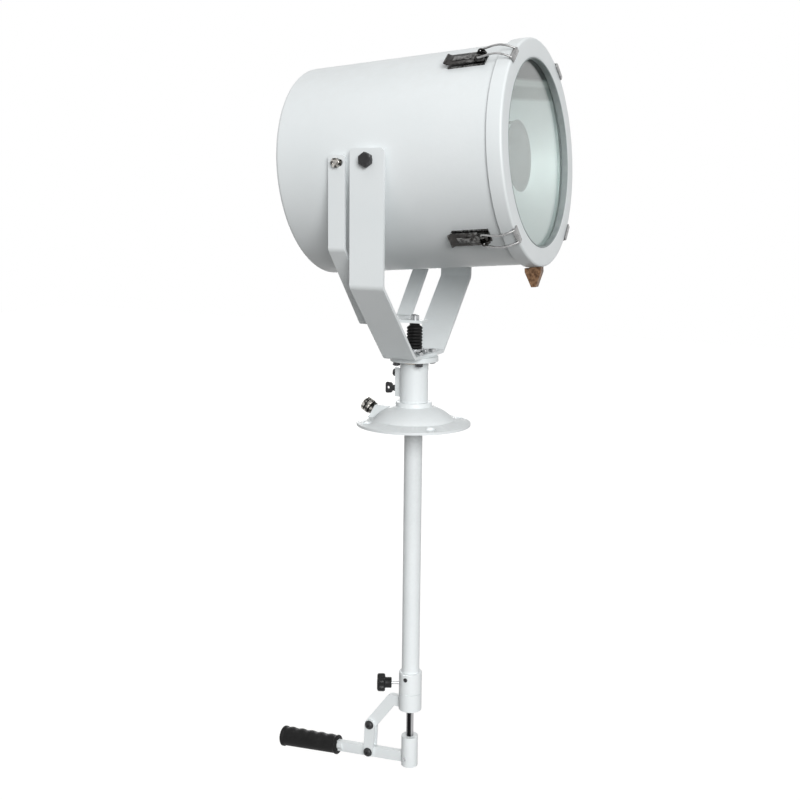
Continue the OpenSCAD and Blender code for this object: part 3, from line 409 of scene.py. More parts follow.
# Pan tube
# Steel pipe that turns in the column and hangs through the roof.
# It is welded to the plate above and carries the collar below.
pipe_bore, pipe_radius, pipe_top, pipe_low = 13.65, 16.85, 127, -524
tube_shape = bmesh.new()
spin(tube_shape, [
    (pipe_bore, pipe_top), (pipe_radius, pipe_top), (pipe_radius, pipe_low + 0.6), (16.4, pipe_low),
    (pipe_bore, pipe_low), (pipe_bore, pipe_top)], sides=96)
settle("pan_pipe", tube_shape, white_enamel, "pan", "pan_tube")

# Yoke and its plate
# A round plate on the tube, and on it a flat bar bent to a U that carries the lamp by its trunnions.
# Four bolts with nuts hold the yoke's foot to the plate.
eased_solid("yoke_plate", "top_plate", white_enamel, "pan", ease=0.8)
eased_solid("outer_yoke", "yoke", white_enamel, "pan", ease=0.9)
steel_dark, steel_light, steel_dusty = (0.40, 0.41, 0.42), (0.56, 0.57, 0.58), (0.33, 0.33, 0.31)
bright_steel, steel_tree, steel = new_finish("bright steel", metallic=1.0)
steel_grain = place_effect(steel_tree, turned_grain, scale=1.5, stretch=1.5)
steel_dust = place_effect(steel_tree, settled_dust, amount=0.35)
steel_tone = tint(steel_tree, steel_grain["Streak"], steel_dark, steel_light)
set_colour(steel_tree, steel, tint(steel_tree, steel_dust["Mask"], steel_tone, steel_dusty))
set_gloss(steel_tree, steel, steel_grain["Streak"], smoothest=0.20, roughest=0.36)
foot_top, plate_under = 133, 118
bolt_x, bolt_y, bolt_radius, bolt_corner, bolt_head = 22.5, 28.5, 4, 7.5, 5.3
bolt_low, foot_nut_low, foot_nut_bore = plate_under - 7.5, plate_under - 6.5, 4.05
bolt_shape, nut_set = bmesh.new(), bmesh.new()
for x in (-bolt_x, bolt_x):
    for y in (-bolt_y, bolt_y):
        bolt_place = moved(x, y, 0)
        hexagon_head(bolt_shape, bolt_corner, bolt_head, bolt_place, below=foot_top)
        shank(bolt_shape, bolt_radius, bolt_low, foot_top, bolt_place)
        spin(nut_set, [
            (foot_nut_bore, foot_nut_low), (5.6, foot_nut_low), (bolt_corner, foot_nut_low + 0.7, hexagon),
            (bolt_corner, plate_under, hexagon), (foot_nut_bore, plate_under),
            (foot_nut_bore, foot_nut_low)], bolt_place, sides=36)
settle("yoke_foot_bolts", bolt_shape, bright_steel, "pan", "yoke_bolts")
settle("yoke_foot_nuts", nut_set, blackened_steel, "pan", "yoke_nuts")

# Bellows and clamp
# A moulded rubber bellows keeps spray out of the tube: a cuff, seven close folds and a neck round the rod.
# A bright band with a cross bolt holds the cuff on the yoke's foot.
cuff_top, neck_low, bellows_top = 141, 181, 188
cuff_radius, fold_radius, fold_swell, neck_radius = 12.9, 12.4, 2.1, 9.2
folds, steps = 7, 8
fold_rows = [(cuff_radius, foot_top), (cuff_radius, cuff_top - 1)]
for k in range(folds * steps + 1):
    swell = math.sin(math.pi * (k % steps) / steps) if k < folds * steps else 0.0
    fold_rows.append((fold_radius + fold_swell * swell ** 0.7,
                      cuff_top + (neck_low - cuff_top) * k / (folds * steps)))
fold_rows += [
    (10.4, neck_low + 1.6), (neck_radius, neck_low + 2.6), (neck_radius, bellows_top - 2.2),
    (9.6, bellows_top - 1.6), (9.6, bellows_top - 0.6), (9.1, bellows_top), (7.4, bellows_top),
    (7.4, neck_low), (10.4, cuff_top), (11.4, foot_top), (cuff_radius, foot_top)]
bellows_shape = bmesh.new()
spin(bellows_shape, fold_rows, sides=64)
bellows_piece = settle("rubber_bellows", bellows_shape, black_rubber, None, "bellows", crease=60)
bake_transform(bellows_piece)


def prism(shape, outline, depth, place, ease):
    """Plate cut to an outline in X and Z, centred on Y, with its corners eased."""
    part = bmesh.new()
    rows = [[part.verts.new(Vector((x * mm, side * depth * mm / 2, z * mm))) for x, z in outline]
            for side in (-1, 1)]
    part.faces.new(rows[0])
    part.faces.new(rows[1][::-1])
    for k in range(len(outline)):
        after = (k + 1) % len(outline)
        part.faces.new((rows[0][k], rows[1][k], rows[1][after], rows[0][after]))
    bmesh.ops.recalc_face_normals(part, faces=part.faces)
    ease_corners(part, sharp=30, ease=ease)
    part.transform(place)
    spare = bpy.data.meshes.new("spare plate")
    part.to_mesh(spare)
    part.free()
    shape.from_mesh(spare)
    bpy.data.meshes.remove(spare)


band_bore, band_radius, bead_radius, band_low, band_high = 13, 17.2, 18, 133, 141
clamp_shape = bmesh.new()
spin(clamp_shape, [
    (band_bore, band_low), (band_radius, band_low), (bead_radius, 133.8), (bead_radius, 135),
    (band_radius, 135.8), (band_radius, 138.2), (bead_radius, 139), (bead_radius, 140.2),
    (band_radius, band_high), (band_bore, band_high), (band_bore, band_low)], sides=96)
ear_outline = [(17, 133.4), (25, 133.4), (25, 140.6), (17, 140.6)]
for y in (-2.2, 2.2):
    prism(clamp_shape, ear_outline, depth=2.4, place=moved(0, y, 0), ease=0.5)
clamp_bolt, ear_face = moved(21.5, 0, 137) @ facing(-90), 3.5
hexagon_head(clamp_shape, corner_radius=3.5, height=3.4, place=clamp_bolt, below=ear_face)
shank(clamp_shape, radius=1.9, low=-7, high=ear_face, place=clamp_bolt)
settle("bellows_band", clamp_shape, bright_steel, "pan", "bellows_clamp")

# Collar and bracket
# A plain turned collar on the tube's lower end, held by a small grub screw in its side.
# The bracket below is cast with a bent arm that carries the handle link.
collar_bore, collar_radius, collar_low, collar_top = 16.9, 22, -523.9, -482
collar_shape = bmesh.new()
spin(collar_shape, [
    (collar_bore, collar_low), (21.2, collar_low), (collar_radius, -523.1), (collar_radius, -483.2),
    (20.9, collar_top), (collar_bore, collar_top), (collar_bore, collar_low)], sides=96)
settle("tube_collar", collar_shape, white_enamel, "pan", "collar")
grub_z = -492.5
grub_place = moved(0, 0, grub_z) @ facing(270)
grub_shape = bmesh.new()
spin(grub_shape, [
    (0, collar_bore), (2, collar_bore), (2, collar_radius), (3.6, collar_radius), (4, 22.4), (4, 23.4),
    (3.4, 24), (2.2, 24), (2.2, 22.8, hexagon), (0, 22.8)], grub_place, sides=36)
settle("collar_grub_screw", grub_shape, blackened_steel, "pan", "collar_screw")
eased_solid("handle_bracket", "bracket", white_enamel, "pan", ease=0.9)


def pivot_bolt(name, x, z, side, body, node):
    """Cross bolt of the handle: a round domed head with a socket on each side."""
    dome = [(8.7, 0), (8.9, 0.5), (8.5, 2.4), (7.4, 4.2), (5.6, 5.5), (3.4, 6)]
    socket = 3.0
    shape = bmesh.new()
    for turn in (90, -90):
        half = moved(x, 0, z) @ facing(turn)
        spin(shape, [(0, side), *((radius, side + high) for radius, high in dome),
                     (socket, side + 5.8, hexagon), (socket, side + 3.4, hexagon), (0, side + 3)], half)
        shank(shape, radius=5, low=0, high=side, place=half)
    settle(name, shape, blackened_steel, body, node)


pivot_bolt("bracket_pivot_bolt", x=-83, z=-607, side=9.6, body="pan", node="pivot_bolt_a")

# Lock knob
# A moulded star knob on a steel stud that passes the collar and the tube and grips the push rod.
# Turned by hand, it holds the tilt.
moulded_dark, moulded_light = (0.004, 0.004, 0.004), (0.009, 0.009, 0.010)
moulded_worn = (0.07, 0.07, 0.07)
moulded_black, moulded_tree, moulded = new_finish("moulded black", metallic=0.0)
moulded.inputs["Specular IOR Level"].default_value = 0.25
moulded_bloom = place_effect(moulded_tree, bloomed_rubber, scale=1.6)
moulded_rub = place_effect(moulded_tree, rubbed_corner, amount=0.35)
moulded_tone = tint(moulded_tree, moulded_bloom["Bloom"], moulded_dark, moulded_light)
set_colour(moulded_tree, moulded, tint(moulded_tree, moulded_rub["Mask"], moulded_tone, moulded_worn))
set_gloss(moulded_tree, moulded, moulded_bloom["Bloom"], smoothest=0.34, roughest=0.48)


def star(turn, points=6, depth=0.17):
    return 1 - depth * ((1 - math.cos(points * turn)) / 2) ** 1.4


knob_z, knob_facing, knob_foot, knob_end, knob_radius = -506.36, 204, 36, 63.5, 18
knob_place = moved(0, 0, knob_z) @ facing(knob_facing)
stud_shape = bmesh.new()
shank(stud_shape, radius=3, low=7.3, high=knob_foot + 1, place=knob_place)
settle("tilt_lock_stud", stud_shape, bright_steel, "knob", "lock_knob")
knob_shape = bmesh.new()
spin(knob_shape, [
    (0, knob_foot), (9, knob_foot), (10.2, 37.2), (10.2, 47), (11, 48.5), (15.5, 48.5, star),
    (17.3, 49.6, star), (knob_radius, 51.8, star), (knob_radius, 60, star), (17.2, 62.4, star),
    (15, knob_end, star), (9, knob_end), (8, 62.9), (0, 62.9)], knob_place, sides=144)
settle("tilt_lock_knob", knob_shape, moulded_black, "knob", "lock_knob", crease=50)

# Lamp drum
# Spun sheet drum closed at the back, with bosses fixed inside for the trunnions and the tilt pins.
# It is sprayed with white enamel inside and out.
trunnion_z, beam_rise = 468, 4
lamp_place = moved(0, 0, trunnion_z) @ turned(-beam_rise, "Y")
beam_place = lamp_place @ turned(90, "Y")
drum_radius, drum_back, drum_front, drum_sheet, corner, corner_steps = 183.5, -180, 210, 2, 7, 12
drum_mouth, mouth_ease = 167.5, 1.2


def drum_corner(radius, k):
    turn = math.pi / 2 * k / corner_steps
    return (drum_radius - corner + radius * math.sin(turn), drum_back + corner - radius * math.cos(turn))


drum_inside = drum_radius - drum_sheet
drum_rows = [(0, drum_back), (drum_radius - corner, drum_back)]
drum_rows += [drum_corner(corner, k) for k in range(1, corner_steps + 1)]
drum_rows += [
    (drum_radius, drum_front - mouth_ease), (drum_radius - mouth_ease, drum_front),
    (drum_mouth, drum_front), (drum_mouth, drum_front - drum_sheet), (drum_inside, drum_front - drum_sheet),
    (drum_inside, drum_back + corner)]
drum_rows += [drum_corner(corner - drum_sheet, k) for k in range(corner_steps - 1, -1, -1)]
drum_rows.append((0, drum_back + drum_sheet))
drum_shape = bmesh.new()
spin(drum_shape, drum_rows, beam_place, sides=192)
settle("spun_drum", drum_shape, white_enamel, "lamp", "drum")
eased_solid("drum_bosses", "trunnion_bosses", white_enamel, "lamp", ease=0.7)
eased_solid("drum_pin_pads", "tilt_pads", white_enamel, "lamp", ease=0.6)

# Trunnion bolts and tilt pins
# Large blackened hexagon bolts let the lamp swing in the outer yoke; smaller pins take the tilt yoke.
# Each has a washer under its head and a spacer next to the drum.
trunnion_radius, trunnion_spacer, trunnion_washer, trunnion_head = 7, 10, 11, 196.8
pin_radius, pin_spacer, pin_washer, pin_head, pin_shift = 5, 7, 8, 194.3, -57
spacer_low = 186.5
trunnion_shape, pin_shape = bmesh.new(), bmesh.new()
for side in (90, -90):
    side_place = lamp_place @ turned(side, "X")
    shank(trunnion_shape, trunnion_radius, low=164.5, high=195.4, place=side_place)
    spin(trunnion_shape, [
        (trunnion_radius, spacer_low), (trunnion_spacer, spacer_low), (trunnion_spacer, 188.7),
        (trunnion_radius, 188.7)], side_place, sides=48)
    spin(trunnion_shape, [
        (trunnion_radius, 195.3), (10.4, 195.3), (trunnion_washer, 195.7), (trunnion_washer, trunnion_head),
        (trunnion_radius, trunnion_head)], side_place, sides=48)
    hexagon_head(trunnion_shape, corner_radius=12.6, height=8, place=side_place @ turned(30, "Z"),
                 below=trunnion_head)
    pin_place = side_place @ moved(pin_shift, 0, 0)
    shank(pin_shape, pin_radius, low=174.5, high=192.9, place=pin_place)
    spin(pin_shape, [
        (pin_radius, spacer_low), (pin_spacer, spacer_low), (pin_spacer, 187.2), (pin_radius, 187.2)],
        pin_place, sides=48)
    spin(pin_shape, [
        (pin_radius, 192.8), (7.6, 192.8), (pin_washer, 193.2), (pin_washer, pin_head),
        (pin_radius, pin_head)], pin_place, sides=48)
    hexagon_head(pin_shape, corner_radius=8.5, height=5, place=pin_place, below=pin_head)
settle("trunnion_hexagon_bolts", trunnion_shape, blackened_steel, "lamp", "trunnion_bolts")
settle("tilt_pin_screws", pin_shape, plated_nickel, "lamp", "tilt_pins")

# Front ring, glass and seals
# A spun ring holds the plate glass between two rubber seals; the latches pull it onto the drum.
# The grey seal in front of the glass also lines the ring's opening. The thick glass is slightly green.
ring_radius, ring_inside, ring_back, ring_front, ring_bend, bend_steps = 188.5, 184.5, 203, 229, 4, 8
ring_lip, lip_front, window, window_back = 184, 207, 156.5, 222
ring_rows = [(ring_lip, ring_back), (187.6, ring_back), (ring_radius, 203.9),
             (ring_radius, ring_front - ring_bend)]
for k in range(1, bend_steps + 1):
    turn = math.pi / 2 * k / bend_steps
    ring_rows.append((ring_inside + ring_bend * math.cos(turn),
                      ring_front - ring_bend + ring_bend * math.sin(turn)))
ring_rows += [
    (157.7, ring_front), (window, ring_front - 1), (window, window_back), (ring_inside, window_back),
    (ring_inside, lip_front), (ring_lip, lip_front), (ring_lip, ring_back)]
ring_shape = bmesh.new()
spin(ring_shape, ring_rows, beam_place, sides=192)
settle("front_ring", ring_shape, white_enamel, "lamp", "bezel")
glass_deep, glass_pale = (0.88, 0.935, 0.915), (0.91, 0.95, 0.935)
plate_glass, glass_tree, glass = new_finish("plate glass", metallic=0.0)
glass.inputs["Transmission Weight"].default_value = 1.0
glass.inputs["IOR"].default_value = 1.46
glass_film = place_effect(glass_tree, sprayed_film, scale=0.7)
set_colour(glass_tree, glass, tint(glass_tree, glass_film["Tone"], glass_deep, glass_pale))
set_gloss(glass_tree, glass, glass_film["Gloss"], smoothest=0.0, roughest=0.02)
pane_radius, pane_back, pane_front, pane_ease = 184, 213, 219, 0.8
pane_shape = bmesh.new()
spin(pane_shape, [
    (0, pane_back), (pane_radius - pane_ease, pane_back), (pane_radius, pane_back + pane_ease),
    (pane_radius, pane_front - pane_ease), (pane_radius - pane_ease, pane_front), (0, pane_front)],
    beam_place, sides=192)
settle("front_pane", pane_shape, plate_glass, "lamp", "glass")
seal_dark, seal_pale = (0.25, 0.285, 0.285), (0.31, 0.345, 0.345)
grey_rubber, seal_tree, seal = new_finish("grey seal rubber", metallic=0.0)
seal_bloom = place_effect(seal_tree, bloomed_rubber, scale=1.0)
set_colour(seal_tree, seal, tint(seal_tree, seal_bloom["Bloom"], seal_dark, seal_pale))
set_gloss(seal_tree, seal, seal_bloom["Grain"], smoothest=0.45, roughest=0.6)
seal_bore = 154.5
seal_shape = bmesh.new()
spin(seal_shape, [
    (seal_bore, pane_front), (pane_radius, pane_front), (pane_radius, window_back), (window, window_back),
    (window, 228.5), (156.0, ring_front), (155.2, ring_front), (seal_bore, 228.3), (seal_bore, pane_front)],
    beam_place, sides=192)
settle("glass_channel_seal", seal_shape, grey_rubber, "lamp", "glass_seal")
dress_solid("front_seal", black_rubber)

# Reflector and bulb
# A silvered parabolic reflector whose top carries painted reflection and painted shade bands, a frosted
# bulb in a ceramic holder on a steel stand, and a grey dished shield on three posts that hides the bulb
# from the front.
silver_dull, silver_bright = (0.73, 0.79, 0.79), (0.78, 0.835, 0.835)
# Bands set by height in the lamp across the reflector's top: the grey and pale bands are painted
# reflections, the near-black band is painted shade.
painted_light_bands = ((0.580, 0.586, (0.36, 0.40, 0.39)), (0.601, 0.605, (0.60, 0.64, 0.63)),
               (0.611, 0.616, (0.035, 0.04, 0.038)))
silvered, silver_tree, silver = new_finish("silvered mirror", metallic=1.0)
silver_film = place_effect(silver_tree, sprayed_film, scale=1.0)
silver_tone = tint(silver_tree, silver_film["Tone"], silver_dull, silver_bright)
silver_place = silver_tree.nodes.new("ShaderNodeTexCoord")
silver_at = silver_tree.nodes.new("ShaderNodeSeparateXYZ")
silver_tree.links.new(silver_place.outputs["Object"], silver_at.inputs["Vector"])
for low, high, painted_band_colour in painted_light_bands:
    painted_band_mask = remap(silver_tree, silver_at.outputs["Z"], low, high)
    silver_tone = tint(silver_tree, painted_band_mask, silver_tone, painted_band_colour)
set_colour(silver_tree, silver, silver_tone)
set_gloss(silver_tree, silver, silver_film["Gloss"], smoothest=0.56, roughest=0.66)
focus, rim_radius, rim_x, throat, sheet, bowl_steps = 44, 163, 208, 34, 3, 48
rim_flange = 176
vertex_x = rim_x - rim_radius ** 2 / (4 * focus)
bowl = [(throat + (rim_radius - throat) * k / bowl_steps) for k in range(bowl_steps + 1)]
bowl_rows = [(r, vertex_x + r * r / (4 * focus)) for r in bowl]
bowl_back = [(r, x - sheet) for r, x in bowl_rows[::-1]]
bowl_rows += [(rim_flange, rim_x), (rim_flange, rim_x - sheet)] + bowl_back + [bowl_rows[0]]
bowl_shape = bmesh.new()
spin(bowl_shape, bowl_rows, beam_place, sides=128)
settle("parabolic_reflector", bowl_shape, silvered, "lamp", "reflector", crease=50)

shield_dark, shield_pale = (0.25, 0.275, 0.275), (0.30, 0.325, 0.325)
shield_grey, shield_tree, shield_paint = new_finish("shield grey", metallic=0.0)
shield_film = place_effect(shield_tree, sprayed_film, scale=2.0)
set_colour(shield_tree, shield_paint, tint(shield_tree, shield_film["Tone"], shield_dark, shield_pale))
set_gloss(shield_tree, shield_paint, shield_film["Gloss"], smoothest=0.38, roughest=0.5)
dish_radius, dish_curve, dish_rim, dish_sheet, dish_steps, shield_x = 52, 110, 60, 2, 24, 186
dish_middle = shield_x + dish_sheet - math.sqrt(dish_curve ** 2 - dish_radius ** 2)
dish_radii = [dish_radius * k / dish_steps for k in range(dish_steps + 1)]
dish = [(r, dish_middle + math.sqrt(dish_curve ** 2 - r ** 2)) for r in dish_radii]
dish_edge = [(59.2, shield_x + dish_sheet), (dish_rim, shield_x + 1.4), (dish_rim, shield_x + 0.6),
             (59.2, shield_x)]
dish_shape = bmesh.new()
spin(dish_shape, dish + dish_edge + [(r, x - dish_sheet) for r, x in dish[::-1]], beam_place, sides=96)
settle("bulb_shield_dish", dish_shape, shield_grey, "lamp", "bulb_shield", crease=50)

frost_warm, frost_pale = (0.72, 0.72, 0.68), (0.80, 0.80, 0.77)
frosted_bulb, frost_tree, frost = new_finish("frosted bulb", metallic=0.0)
frost_film = place_effect(frost_tree, sprayed_film, scale=3.0)
set_colour(frost_tree, frost, tint(frost_tree, frost_film["Tone"], frost_warm, frost_pale))
set_gloss(frost_tree, frost, frost_film["Gloss"], smoothest=0.3, roughest=0.45)
bulb_foot, bulb_radius, dome_steps = vertex_x + 7, 16, 10
bulb_dome = bulb_foot + 54
bulb_rows = [
    (0, bulb_foot - 32), (12, bulb_foot - 32), (13, bulb_foot - 30), (13, bulb_foot - 2), (14.5, bulb_foot),
    (bulb_radius, bulb_foot + 4), (bulb_radius, bulb_dome)]
for k in range(1, dome_steps):
    turn = math.pi / 2 * k / dome_steps
    bulb_rows.append((bulb_radius * math.cos(turn), bulb_dome + bulb_radius * math.sin(turn)))
bulb_rows.append((0, bulb_dome + bulb_radius))
bulb_shape = bmesh.new()
spin(bulb_shape, bulb_rows, beam_place, sides=64)
settle("lamp_bulb", bulb_shape, frosted_bulb, "lamp", "bulb", crease=50)

ceramic_dark, ceramic_pale = (0.66, 0.62, 0.52), (0.74, 0.71, 0.62)
glazed_ceramic, ceramic_tree, ceramic = new_finish("glazed ceramic", metallic=0.0, coat=0.4,
                                                   coat_roughness=0.08)
ceramic_film = place_effect(ceramic_tree, sprayed_film, scale=4.0)
set_colour(ceramic_tree, ceramic, tint(ceramic_tree, ceramic_film["Tone"], ceramic_dark, ceramic_pale))
set_gloss(ceramic_tree, ceramic, ceramic_film["Gloss"], smoothest=0.25, roughest=0.4)
dress_solid("lamp_holder", glazed_ceramic)
for node in ("holder_post", "shield_posts"):
    dress_solid(node, bright_steel)

# Latches
# Four over-centre latches pull the front ring onto the drum: a foot fixed to the drum, a pressed lever
# and a bent wire bail whose claw hooks over the ring.
# The near-black latch steel stands in for the steel's dark reflections: painted reflection. The bright
# rubbed edges are wear.
latch_dark_reflection, latch_dark_reflection_light, worn_bare = (0.016, 0.015, 0.0145), (0.06, 0.057, 0.055), (0.60, 0.60, 0.59)
worn_steel_dark_reflection, worn_tree, worn = new_finish("worn latch steel with painted dark reflection", metallic=1.0)
worn_grain = place_effect(worn_tree, turned_grain, scale=4.0, stretch=4.0)
worn_rub = place_effect(worn_tree, rubbed_corner, amount=0.7)
latch_reflection_tone = tint(worn_tree, worn_grain["Streak"], latch_dark_reflection, latch_dark_reflection_light)
set_colour(worn_tree, worn, tint(worn_tree, worn_rub["Mask"], latch_reflection_tone, worn_bare))
set_gloss(worn_tree, worn, worn_grain["Streak"], smoothest=0.22, roughest=0.42)
wire_dark, wire_light = (0.24, 0.24, 0.24), (0.40, 0.40, 0.40)
dull_wire, wire_tree, wire_steel = new_finish("dull wire", metallic=1.0)
wire_grain = place_effect(wire_tree, turned_grain, scale=6.0, stretch=6.0)
set_colour(wire_tree, wire_steel, tint(wire_tree, wire_grain["Streak"], wire_dark, wire_light))
set_gloss(wire_tree, wire_steel, wire_grain["Streak"], smoothest=0.22, roughest=0.36)


def bent_path(points, steps=8):
    """Smooth curve through the given points."""
    path, last = [], len(points) - 1
    for k in range(last):
        before, start, end, after = (Vector(points[max(0, min(last, k + j))]) for j in (-1, 0, 1, 2))
        for s in range(steps):
            t = s / steps
            path.append(0.5 * (2 * start + (end - before) * t
                               + (2 * before - 5 * start + 4 * end - after) * t ** 2
                               + (3 * start - before - 3 * end + after) * t ** 3))
    return path + [Vector(points[-1])]


def wire(shape, path, radius, place, sides=14):
    """Round wire drawn along a path in millimetres, with domed ends."""
    rings, across = [], Vector((0, 1, 0))
    for k, point in enumerate(path):
        along = (path[min(k + 1, len(path) - 1)] - path[max(k - 1, 0)]).normalized()
        across = (across - along * across.dot(along))
        across = across.normalized() if across.length > 1e-4 else along.orthogonal().normalized()
        up = along.cross(across)
        sizes = [(0, 1.0)]
        if k == 0:
            sizes = [(-0.9 * radius, 0.4), (-0.5 * radius, 0.85), (0, 1.0)]
        elif k == len(path) - 1:
            sizes = [(0, 1.0), (0.5 * radius, 0.85), (0.9 * radius, 0.4)]
        for shift, share in sizes:
            ring = []
            for j in range(sides):
                turn = 2 * math.pi * j / sides
                spoke = (across * math.cos(turn) + up * math.sin(turn)) * radius * share
                ring.append(shape.verts.new(place @ ((point + along * shift + spoke) * mm)))
            rings.append(ring)
    for low, high in zip(rings, rings[1:]):
        for j in range(sides):
            shape.faces.new((low[j], low[(j + 1) % sides], high[(j + 1) % sides], high[j]))
    shape.faces.new(rings[0][::-1])
    shape.faces.new(rings[-1])


latch_turns, latch_x, lever_pivot = (38, 135, 225, 322), 178, 8.2
cheek = [(0, -4.4), (3.3, -3.3), (4.4, 0), (2.6, 4.2), (-1.6, 8.2), (-5, 8.8), (-8.4, 7.4), (-13, 1.2),
         (-34, 1.0), (-34, -1.2), (-13, -4.4)]
thumb = [(-12, -1.5), (-12, 1.0), (-56, 1.0), (-59, 2.0), (-61.5, 4.0), (-64, 4.0), (-62.6, 1.6),
         (-59, -0.7), (-55, -1.5)]
stiffener = [(-18, 1.0), (-18, 2.0), (-50, 2.0), (-50, 1.0)]
claw = [(47.6, 5.7), (47.6, 7.9), (52.4, 7.9), (54.1, 6.4), (54.1, -1.3), (51.5, -1.3), (51.5, 5.7)]
cheek_y, cheek_sheet, thumb_width, stiffener_width, claw_width = 8.65, 2.5, 28, 12, 32
bail_eye, bail_y, bail_radius = 7.6, 13, 1.7
for number, turn in enumerate(latch_turns, 1):
    latch_place = lamp_place @ turned(turn, "X") @ moved(latch_x, 0, drum_radius)
    lever_place = latch_place @ moved(0, 0, lever_pivot)
    lever_shape = bmesh.new()
    for y in (-cheek_y, cheek_y):
        prism(lever_shape, cheek, cheek_sheet, lever_place @ moved(0, y, 0), ease=0.5)
    prism(lever_shape, thumb, thumb_width, lever_place, ease=0.7)
    prism(lever_shape, stiffener, stiffener_width, lever_place, ease=0.8)
    settle(f"latch_thumb_lever_{number}", lever_shape, worn_steel_dark_reflection, f"latch_{number}",
           f"latch_lever_{number}")
    bail_shape = bmesh.new()
    for side in (-1, 1):
        bail_points = [
            (-4.95, side * bail_eye, 13.15), (-4.95, side * 11.0, 13.15), (-3.2, side * 12.6, 13.2),
            (3, side * bail_y, 14.0), (16, side * bail_y, 16.4), (28, side * bail_y, 16.8),
            (40, side * bail_y, 13.0), (50.5, side * bail_y, 7.2)]
        wire(bail_shape, bent_path(bail_points), bail_radius, latch_place)
    prism(bail_shape, claw, claw_width, latch_place, ease=0.7)
    settle(f"latch_wire_bail_{number}", bail_shape, dull_wire, f"bail_{number}", f"latch_bail_{number}")
eased_solid("latch_feet", "latch_bases", worn_steel_dark_reflection, "lamp", ease=0.4)

# Lug under the front ring
# A small cast bronze lug brazed below the ring.
# It has gone brown and rough with the years.
brown_dark, brown_light = (0.085, 0.042, 0.02), (0.34, 0.20, 0.11)
brown_bronze, brown_tree, brown = new_finish("brown bronze", metallic=0.7)
brown_grain = place_effect(brown_tree, bloomed_rubber, scale=2.5)
set_colour(brown_tree, brown, tint(brown_tree, brown_grain["Bloom"], brown_dark, brown_light))
set_gloss(brown_tree, brown, brown_grain["Bloom"], smoothest=0.35, roughest=0.6)
raise_surface(brown_tree, brown, brown_grain["Bloom"], depth=1.2 * mm)
eased_solid("ring_lug", "lug", brown_bronze, "lamp", ease=2.6)

# Push rod and tilt yoke
# A drawn steel rod inside the pan tube; a cap screw holds the narrow tilt yoke on its upper end.
# The block on its lower end is slotted for the lever and cross drilled for a pin.
drawn_dark, drawn_light = (0.012, 0.012, 0.013), (0.46, 0.46, 0.47)
drawn_steel, drawn_tree, drawn = new_finish("drawn steel", metallic=1.0)
drawn_grain = place_effect(drawn_tree, turned_grain, scale=9.0, stretch=0.15)
drawn_streak = remap(drawn_tree, drawn_grain["Streak"], low=0.34, high=0.64)
set_colour(drawn_tree, drawn, tint(drawn_tree, drawn_streak, drawn_dark, drawn_light))
set_gloss(drawn_tree, drawn, drawn_grain["Streak"], smoothest=0.25, roughest=0.4)
rod_radius, spigot, rod_low, shoulder, rod_top = 7, 5, -635.258, 188, 200.2
rod_shape = bmesh.new()
spin(rod_shape, [
    (0, rod_low), (rod_radius, rod_low), (rod_radius, shoulder - 0.8), (6.2, shoulder), (spigot, shoulder),
    (spigot, rod_top), (0, rod_top)], sides=48)
settle("drawn_push_rod", rod_shape, drawn_steel, "rod", "push_rod")
eased_solid("inner_tilt_yoke", "tilt_yoke", white_enamel, "rod", ease=0.8)
cap_radius, cap_low, cap_top, cap_socket = 8, 193, 202.5, 4.3
cap_shape = bmesh.new()
spin(cap_shape, [
    (spigot, cap_low), (cap_radius, cap_low), (cap_radius, 201.3), (7, cap_top), (4.6, cap_top),
    (cap_socket, 202.1, hexagon), (cap_socket, 198.6, hexagon), (0, 198.2)])
settle("rod_cap_screw", cap_shape, bright_steel, "rod", "rod_cap")
eased_solid("rod_end_block", "rod_block", white_enamel, "rod", ease=0.8)
dress_solid("block_pin", bright_steel)

# Handle link, lever and grip
# Two flat links hang the lever from the bracket, so that the grip lifts and lowers the rod.
# The grip is moulded rubber with finger waves on top and a low lip at each end.
lever_x, lever_z = -86, -664.922
eased_solid("handle_links", "handle_link", white_enamel, "link", ease=0.6)
pivot_bolt("lever_pivot_bolt", x=lever_x, z=lever_z, side=9.3, body="link", node="pivot_bolt_b")
eased_solid("tilt_lever", "lever", white_enamel, "lever", ease=0.8)
lever_slope, grip_x = -4, -71
grip_place = moved(lever_x, 0, lever_z) @ turned(lever_slope, "Y") @ moved(grip_x, 0, 0) @ turned(-90, "Y")
grip_bore, grip_length, grip_slim, grip_taper = 8.05, 127, 17.4, 1.2
wave_start, waved_length, waves, wave_rise, stations = 6, 113, 5, 0.10, 80


def finger_wave(along):
    """Outline at one station of the grip: round below and waved on top."""
    share = max(0.0, min(1.0, (along - wave_start) / waved_length))
    rise = 0.5 - 0.5 * math.cos(2 * math.pi * waves * share)

    def outline(turn):
        upper = max(0.0, math.cos(turn))
        return 1 + wave_rise * rise * upper ** 1.3
    return outline


grip_rows = [(grip_bore, 0), (17.8, 0), (18.8, 1), (18.8, 3.4), (18.0, 4.4)]
for k in range(stations + 1):
    along = wave_start + waved_length * k / stations
    grip_rows.append((grip_slim + grip_taper * k / stations, along, finger_wave(along)))
grip_rows += [(19.2, 121), (20.2, 122.4), (20.2, 126), (19.2, grip_length), (0, grip_length)]
grip_shape = bmesh.new()
spin(grip_shape, grip_rows, grip_place, sides=64)
settle("moulded_grip", grip_shape, black_rubber, "lever", "grip", crease=70)

# Studio
# Plain pale floor in a white room under soft lamps, and a camera at the photograph's viewing angle.
# Floor and room show white where they are seen, but light the object only softly.
floor_grey, floor_z, floor_half = (0.14, 0.135, 0.13), -0.86, 9
floor_finish, floor_tree, floor_shader = new_finish("pale floor", metallic=0.0)
floor_shader.inputs["Base Color"].default_value = (*floor_grey, 1)
floor_shader.inputs["Roughness"].default_value = 1.0
floor_shader.inputs["Specular IOR Level"].default_value = 0.0
floor_shader.inputs["Emission Color"].default_value = (1, 1, 1, 1)


